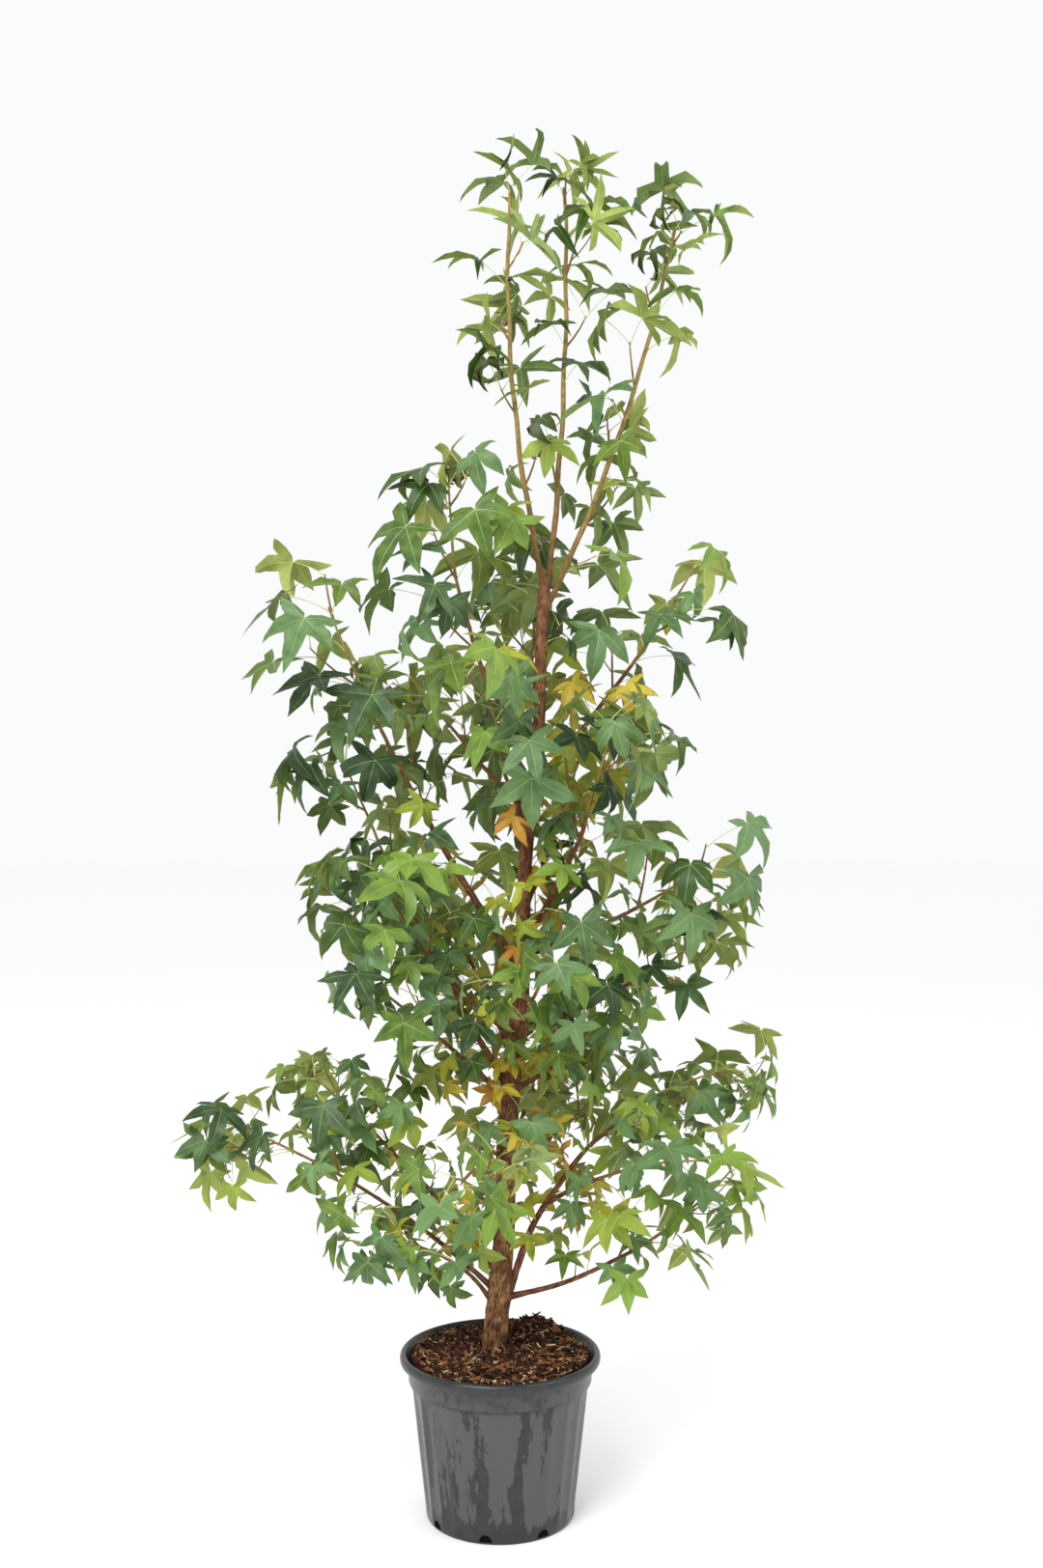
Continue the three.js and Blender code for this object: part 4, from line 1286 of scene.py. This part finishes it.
# %% [markdown]
# ## Where leaves stand
# A leaf's petiole leaves its bud outwards and up, and its blade hangs away from the trunk: face-on and
# drooping low in the crown, turned every way and narrower in the leaders. The rule is the frame's, with
# blades of their real size, four fifths of the frame's low down and as large in the leaders. A leaf that
# would cut wood or another leaf is turned and tried again, and at last left out.

# %% Where leaves stand
LEAF_LENGTH = [(0, 0.084), (0.600, 0.096), (1.100, 0.120), (1.500, 0.114), (2.300, 0.092)]
TRUE_SIZE = [(0.4, 0.79), (0.9, 0.80), (1.3, 0.82), (2.0, 0.86), (2.5, 1.02)]  # of the frame's, by height
LEADERS_FROM = (1.9, 2.5)  # the heights over which leaves change from the crown's to the leaders'
FRAME_ATTEMPTS = 9
LEAF_ATTEMPTS = 16
STALK_WAY = (0.45, 0.8, 0.3)  # along the shoot, away from it and up
LEAST_DROOP = (34, 5)  # degrees in the crown, and in the leaders
# For the frame's buds and for others: how much droop and tilt a leaf may add, in degrees, in the crown and
# how much more in the leaders, and by how much a leaf of the leaders may lift again.
DROOP = {True: (42, 18), False: (52, 0)}
LIFT = {True: 40, False: 70}
TILT = {True: (60, 70), False: (130, 20)}
SWING = 70
WIDE_SWING = 130
# What the dice of a leaf are rolled for.
FOR_STALK, FOR_SWING, FOR_DROOP, FOR_TILT, FOR_SIZE, FOR_LIFT, FOR_KEEPING = 1, 2, 3, 4, 5, 7, 8


def by_height(pair, high):
    """The first of a pair in the crown, and the second more in the leaders."""
    return pair[0] + pair[1] * high


def leaf_at(arc, t, limb_no, twig, bud, attempt, in_frame):
    """A leaf's place and pose, or None where its petiole would meet the blade from the wrong side."""

    def dice(purpose):
        return roll(limb_no, twig, bud, purpose + 10 * attempt)

    start = arc.point(t)
    grown = float(np.interp(start[2] - GROUND, *zip(*LEAF_LENGTH))) * (0.75 + 0.45 * dice(FOR_SIZE))
    if not in_frame:
        grown *= 0.92 - 0.012 * attempt
    onward, outward, upward = STALK_WAY
    out = arc.sideways(t, side_angle(bud, roll(limb_no, twig, 0, FOR_FIRST_SIDE)))
    petiole = unit(arc.tangent(t) * onward + out * outward + UP * upward)
    centre = start + petiole * grown * (0.5 + 0.4 * dice(FOR_STALK))
    away = centre - trunk_axis(centre[2])
    away = unit(away * (1, 1, 0)) + 0.9 * unit(petiole * (1, 1, 0))
    high = smooth(start[2], *LEADERS_FROM)
    swing = SWING if in_frame and attempt < FRAME_ATTEMPTS else WIDE_SWING
    turn = math.atan2(away[1], away[0]) + math.radians(swing) * (dice(FOR_SWING) - 0.5)
    least = LEAST_DROOP[0] + (LEAST_DROOP[1] - LEAST_DROOP[0]) * high
    more = by_height(DROOP[in_frame], high) * dice(FOR_DROOP)
    droop = math.radians(least + more - LIFT[in_frame] * high * dice(FOR_LIFT))
    along, flat = heading(turn, -droop), heading(turn, math.pi / 2 - droop)
    tilt = math.radians(by_height(TILT[in_frame], high)) * (dice(FOR_TILT) - 0.5)
    up = flat * math.cos(tilt) + np.cross(flat, along) * math.sin(tilt)
    across = np.cross(up, along)
    back = unit(start - centre)
    if back @ along > 0.2 or abs(back @ across) > 0.7:
        return None
    length = grown * float(np.interp(start[2], *zip(*TRUE_SIZE)))
    centre = centre + along * (grown - length) * 0.6
    return dict(start=start, centre=centre, along=along, across=across, up=up, length=length, high=high)


# %% [markdown]
# ### A tint and a shape for each leaf
# Old leaves turn yellow and orange where the crown shades them, deep inside and low down, and a few in the
# leaders dry up, small and crisp. A leaf lies flat and wide in the crown; in the leaders it is narrower, more
# tightly folded and more deeply cut. Each leaf rolls its own dice, so its shape doesn't hang on the others.

# %% A tint and a shape for each leaf
TONE_BY_HEIGHT = [(0.6, 0.30), (1.0, 0.08), (1.3, -0.06), (1.9, -0.12), (2.3, -0.2)]  # paler low down
CRISPED_SHARE = 0.10
TURNED_HEIGHTS = (0.45, 1.75)
TURNED_LOW = [(0.12, 0.68), (0.26, 0.18), (9.0, 0.02)]  # metres from the trunk's line, share of turned leaves
TURNED_ABOVE = [(0.12, 0.68), (0.26, 0.10), (9.0, 0.02)]
LOW = 0.95  # heights between which leaves have the middle crown's shares
HIGH = 1.6
LEADERS = 1.95  # and above which they have the leaders'
TURNED = [(0.50, "turning"), (0.85, "yellow"), (1.0, "orange")]
GREEN_LOW_OR_HIGH = [(0.16, "fresh"), (0.50, "green"), (1.0, "bluegreen")]
GREEN_MIDDLE = [(0.05, "fresh"), (0.50, "green"), (1.0, "bluegreen")]
GREEN_LEADERS = [(0.18, "fresh"), (0.66, "green"), (1.0, "bluegreen")]


def first_above(value, ladder):
    """What stands beside the first rung that is above a value."""
    return next(found for rung, found in ladder if value < rung)


def tint_of(leaf, dice):
    """The tint that a leaf is dealt, by its height and how deep in the crown it stands."""
    z = leaf["centre"][2]
    old, which, green = dice.random(3)
    depth = math.hypot(*(leaf["centre"] - trunk_axis(z))[:2])
    if leaf["high"] > 0.05 and old < CRISPED_SHARE:
        return "crisped"
    turned = first_above(depth, TURNED_LOW if z < LOW else TURNED_ABOVE)
    if TURNED_HEIGHTS[0] < z < TURNED_HEIGHTS[1] and old < turned:
        return first_above(which, TURNED)
    if z > LEADERS:
        return first_above(green, GREEN_LEADERS)
    return first_above(green, GREEN_LOW_OR_HIGH if z > HIGH or z < LOW else GREEN_MIDDLE)


def shape_leaf(leaf, limb_no, twig, bud):
    """Slant, curl, fold and ripple of one leaf: gentle low down, tighter in the leaders."""
    dice = np.random.default_rng((limb_no, twig, bud))
    high = leaf["high"]
    lobes = len(LOBE_ANGLES)
    leaf["tint"] = tint_of(leaf, dice)
    curl = by_height((0.45, 0.35), high) + dice.uniform(-0.30, 0.75)
    leaf["curl"] = np.maximum(curl + dice.normal(0, 0.42, lobes), 0.06)
    fold = math.radians(by_height((8, 26), high)) + abs(dice.normal(0, by_height((0.22, 0.14), high)))
    leaf["fold"] = np.clip(fold + dice.normal(0, 0.13, lobes), 0.02, 1.25)
    leaf["slant"] = by_height((0.02, 0.25), high) + dice.normal(0, by_height((0.24, 0.08), high), lobes)
    leaf["spread"] = dice.normal(0, 0.11, lobes) * (np.abs(LOBE_ANGLES) > 0)
    leaf["reach"] = 1 + dice.normal(0, 0.09, lobes)
    leaf["width"] = dice.uniform(0.80, 1.04) * (1 - 0.20 * high)
    leaf["notch"] = dice.uniform(0.82, 1.12) * (1 - 0.36 * high)
    rim = leaf_side == 0
    leaf["ripple"] = np.where(rim, dice.normal(0, 0.012, len(rim)), 0.0)
    leaf["edge"] = np.where(rim, 1 + dice.normal(0, 0.06, len(rim)), 1.0)
    leaf["tone"] = dice.random() + float(np.interp(leaf["centre"][2], *zip(*TONE_BY_HEIGHT)))
    if leaf["tint"] == "crisped":
        leaf["length"] *= 0.7
        leaf["width"] *= 1.25
        leaf["notch"] *= 1.45
        leaf["curl"] += dice.uniform(0.9, 1.9, lobes)
        leaf["fold"] = leaf["fold"] + 0.4
    elif leaf["tint"] in ("turning", "yellow", "orange"):
        leaf["length"] *= 0.84


# %% [markdown]
# ### Room for each leaf
# Leaves of a real crown lie over each other but don't cut through each other. A search tree of each accepted
# blade, and one of all the wood, tell whether a new blade crosses anything. The frame's own leaves are placed
# first, so that they keep the crown's outline, and the finer sprays then fill in. In the airy top only some
# buds bear a leaf, but the tips of the frame's shoots always do. Blades are tested without the tips of their
# lobes, which on a real leaf would give way.

# %% Room for each leaf
TESTED_SHARE = 0.84
NEIGHBOURS_WITHIN = 0.22
LOWEST_LEAF = 0.430
LOWEST_BY_TRUNK = 0.510  # within the reach below
BY_TRUNK = 0.130
OWN_SPACE_MARGIN = 0.040
STALK_TESTED = 0.97
THINNING = [(0.9, 1.0), (1.3, 0.94), (1.6, 0.74), (2.0, 0.24), (2.45, 0.10)]  # finer buds kept, by height
OWN_THINNING = [(1.9, 1.0), (2.4, 0.68)]  # and the frame's own buds
TIP_BUDS = 0.88  # share of a shoot past which its own buds are all kept


def wood_tree():
    points, faces = list(all_twigs.points), list(all_twigs.faces)
    for mesh in limb_meshes:
        base = len(points)
        points += [v.co[:] for v in mesh.vertices]
        faces += [tuple(base + i for i in p.vertices) for p in mesh.polygons]
    return BVHTree.FromPolygons(points, faces)


wood = wood_tree()
traces = np.array([arcs[row["name"]].point(np.linspace(0, 1, 25)) for row in LIMBS])
leaves, blade_trees, centres = [], [], np.empty((0, 3))
low_corner, high_corner = np.array(cad_box[0]) - 0.012, np.array(cad_box[1]) + 0.006


def in_own_space(point, limb_no):
    nearest = np.linalg.norm(traces - point, axis=2).min(1)
    return nearest[limb_no] < np.delete(nearest, limb_no).min() + OWN_SPACE_MARGIN


def crosses(tree, start, end):
    """Whether a straight stalk from start to end goes through a blade."""
    way = end - start
    distance = float(np.linalg.norm(way))
    return tree.ray_cast(Vector(start), Vector(way / distance), distance * STALK_TESTED)[0] is not None


def fits(leaf, points, tree):
    """Whether a blade stays in the frame's box, over the pot, and clear of wood and other blades."""
    by_trunk = np.linalg.norm(leaf["centre"] - trunk_axis(leaf["centre"][2])) < BY_TRUNK
    if points[:, 2].min() < (LOWEST_BY_TRUNK if by_trunk else LOWEST_LEAF):
        return False
    if (points.min(0) < low_corner).any() or (points.max(0) > high_corner).any() or tree.overlap(wood):
        return False
    near = np.flatnonzero(np.linalg.norm(centres - leaf["centre"], axis=1) < NEIGHBOURS_WITHIN)
    return not any(
        tree.overlap(blade_trees[i])
        or crosses(blade_trees[i], leaf["start"], leaf["centre"])
        or crosses(tree, leaves[i]["start"], leaves[i]["centre"])
        for i in near
    )


def place_leaf(arc, t, limb_no, twig, bud, in_frame):
    """Tries poses for one leaf until one fits."""
    global centres
    for attempt in range(LEAF_ATTEMPTS):
        leaf = leaf_at(arc, t, limb_no, twig, bud, attempt, in_frame)
        if leaf is None or (in_frame and not in_own_space(leaf["centre"], limb_no)):
            continue
        shape_leaf(leaf, limb_no, twig, bud)
        points = bend_leaf(leaf)
        tested = leaf["centre"] + (points[: len(flat_points)] - leaf["centre"]) * TESTED_SHARE
        tree = BVHTree.FromPolygons(tested.tolist(), top_faces)
        if fits(leaf, points, tree):
            leaf["points"], leaf["shoot"] = points, arc
            leaves.append(leaf)
            blade_trees.append(tree)
            centres = np.vstack([centres, leaf["centre"]])
            return


def is_kept(arc, t, limb_no, twig, bud, in_frame):
    """Whether a bud bears a leaf at all: fewer do in the airy top, but a shoot's own tip always does."""
    shares = OWN_THINNING if in_frame else THINNING
    at_tip = in_frame and t > TIP_BUDS
    return at_tip or roll(limb_no, twig, bud, FOR_KEEPING) < np.interp(arc.point(t)[2], *zip(*shares))


for own in (True, False):
    for post in posts:
        if post[-1] == own and is_kept(*post):
            place_leaf(*post)
    print(len(leaves), "leaves placed")

# %% [markdown]
# ### Petioles
# The long thin stalks show all through the crown as pale lines. Each is a four-sided tube on a shallow arch
# from its bud to the blade, a little thicker at its foot.

# %% Petioles
PETIOLE_RADII = np.array([1.5, 0.95, 0.8, 0.75, 0.75, 0.85]) * 0.001  # from the bud to the blade
PETIOLE_ARCH = 0.07  # of its length
PETIOLE_BACK = 0.05
PETIOLE_SIDES = 4
petioles = Bundle()
for leaf in leaves:
    start, end = leaf["start"], leaf["centre"]
    span = np.linalg.norm(end - start)
    crest = (start + end) / 2 + UP * span * PETIOLE_ARCH - leaf["along"] * span * PETIOLE_BACK
    share = np.linspace(0, 1, len(PETIOLE_RADII))[:, None]
    line = start * (1 - share) ** 2 + 2 * crest * share * (1 - share) + end * share**2
    petioles.add(line, PETIOLE_RADII, PETIOLE_SIDES, leaf["tone"])


def petiole_finish():
    finish = Finish("petioles", roughness=0.5)
    tone = finish.blend(finish.attribute("age"), 0.2, 0.9, "#b4c272", "#d0c488")
    blush = finish.step(finish.speckle(finish.position(), 30.0, 2.0), 0.55, 0.75)
    finish.paint("Base Color", finish.over(tone, blush, 0.35, "#c0966a"))
    return finish.material


add_piece("petioles", petioles.mesh("petioles"), [petiole_finish()], FOLIAGE)

# %% The twigs that bear leaves
bearing = {id(leaf["shoot"]) for leaf in leaves}
carriers = {id(parent) for shoot, parent in parents if id(shoot) in bearing}
leafy = [(shoot, radius) for shoot, radius in shoots if id(shoot) in bearing | carriers]
add_piece("twigs", twig_bundle(leafy).mesh("twigs"), [bark], FOLIAGE)

# %% [markdown]
# ## Leaf colours
# Most leaves are blue-green to mid green, some a fresher green, and old ones turn yellow and orange. Each
# tint has two plain colours for the top and two paler ones for the underside, which the leaf's tone picks
# between. Turned leaves keep green patches, and the older ones have a browned edge. One piece holds all
# leaves of one tint.

# %% Leaf finishes
TINTS = {
    "bluegreen": ("#1c3517", "#64854f", "#5b713a", "#96a964"),
    "green": ("#28440e", "#789639", "#647731", "#9dac57"),
    "fresh": ("#48621c", "#8a9c38", "#7e8c40", "#a8b162"),
    "turning": ("#7b8a24", "#a5a530", "#a3a03c", "#b9b44c"),
    "yellow": ("#a08c1e", "#bca72f", "#ae9b36", "#c0b052"),
    "orange": ("#a4701e", "#ba862b", "#aa7e34", "#be964a"),
    "crisped": ("#34441c", "#5c6a2c", "#62703a", "#8a8c50"),
}
PATCHES = {"turning": "#6f8a34", "yellow": "#8b9a34", "orange": "#a58a2c"}
EDGES = {"crisped": "#3c3c1c", "yellow": "#7a5228", "orange": "#7a4a22"}
VEINS = {"bluegreen": 0.34, "green": 0.40, "fresh": 0.60, "crisped": 0.25}  # how clearly the veins show
OTHER_VEINS = 0.45
TOP_SKIN = ("#b4c286", 0.42, 0.27)  # vein colour, roughness and shine
UNDER_SKIN = ("#cfd3a0", 0.6, 0.15)
VEIN_LADDER = (8.0, 2.2)  # side veins to a lobe, and how far they slant


def leaf_finish(name, tint, dark, light, vein, roughness, shine):
    """Blade colour with a main vein, side veins and, on old leaves, green patches and a browned edge."""
    finish = Finish(name, roughness=roughness, shine=shine)
    across = finish.parts(finish.node("ShaderNodeUVMap", uv_map="blade").outputs["UV"])
    off = finish.math("ABSOLUTE", finish.minus(finish.times(across["X"], 2.0), 1.0))
    main = finish.step(off, 0.075, 0.02)
    rungs, slant = VEIN_LADDER
    ladder = finish.minus(finish.times(across["Y"], rungs), finish.times(off, slant))
    saw = finish.math("ABSOLUTE", finish.minus(finish.math("FRACT", ladder), 0.5))
    side_veins = finish.step(saw, 0.09, 0.02)
    mottle = finish.speckle(finish.position(), 38.0, 3.0)
    tone = finish.plus(finish.times(finish.attribute("tone"), 0.6), finish.times(mottle, 0.5))
    base = finish.blend(tone, 0.20, 0.88, dark, light)
    lines = finish.plus(finish.times(main, VEINS.get(tint, OTHER_VEINS)), finish.times(side_veins, 0.12))
    base = finish.mix(finish.math("MINIMUM", lines, 1.0), base, colour(vein))
    if tint in PATCHES:
        base = finish.over(base, finish.step(mottle, 0.56, 0.64), 0.7, PATCHES[tint])
    if tint in EDGES:
        ragged = finish.plus(off, finish.times(finish.minus(mottle, 0.5), 1.1))
        base = finish.mix(finish.step(ragged, 0.75, 0.95), base, colour(EDGES[tint]))
    finish.paint("Base Color", base)
    finish.bump(finish.minus(mottle, finish.times(lines, 0.15)), 0.5, 0.006)
    return finish.material


# %% Leaves as joined meshes


def leaf_mesh(name, chosen):
    points = np.array([leaf["points"] for leaf in chosen])
    mesh = joined_mesh(name, points, leaf_faces)
    ends = np.empty(2 * len(mesh.edges), np.int32)
    mesh.edges.foreach_get("vertices", ends)
    a, b = (ends.reshape(-1, 2) % len(leaf_points)).T
    mesh.shade_smooth()
    mesh.attributes.new("sharp_edge", "BOOLEAN", "EDGE").data.foreach_set("value", creases[a, b])
    corners = np.array([xy for face in leaf_uv for xy in face], np.float32).ravel()
    mesh.uv_layers.new(name="blade").uv.foreach_set("vector", np.tile(corners, len(chosen)))
    mesh.polygons.foreach_set("material_index", np.tile(leaf_slots, len(chosen)))
    write_attribute(mesh, "tone", np.repeat([leaf["tone"] for leaf in chosen], len(leaf_points)))
    return mesh


for tint, (dark, light, under_dark, under_light) in TINTS.items():
    chosen = [leaf for leaf in leaves if leaf["tint"] == tint]
    top = leaf_finish(tint + " leaf", tint, dark, light, *TOP_SKIN)
    under = leaf_finish(tint + " underside", tint, under_dark, under_light, *UNDER_SKIN)
    add_piece("leaves_" + tint, leaf_mesh("leaves_" + tint, chosen), [top, under], FOLIAGE)
    print(tint, len(chosen), "leaves")
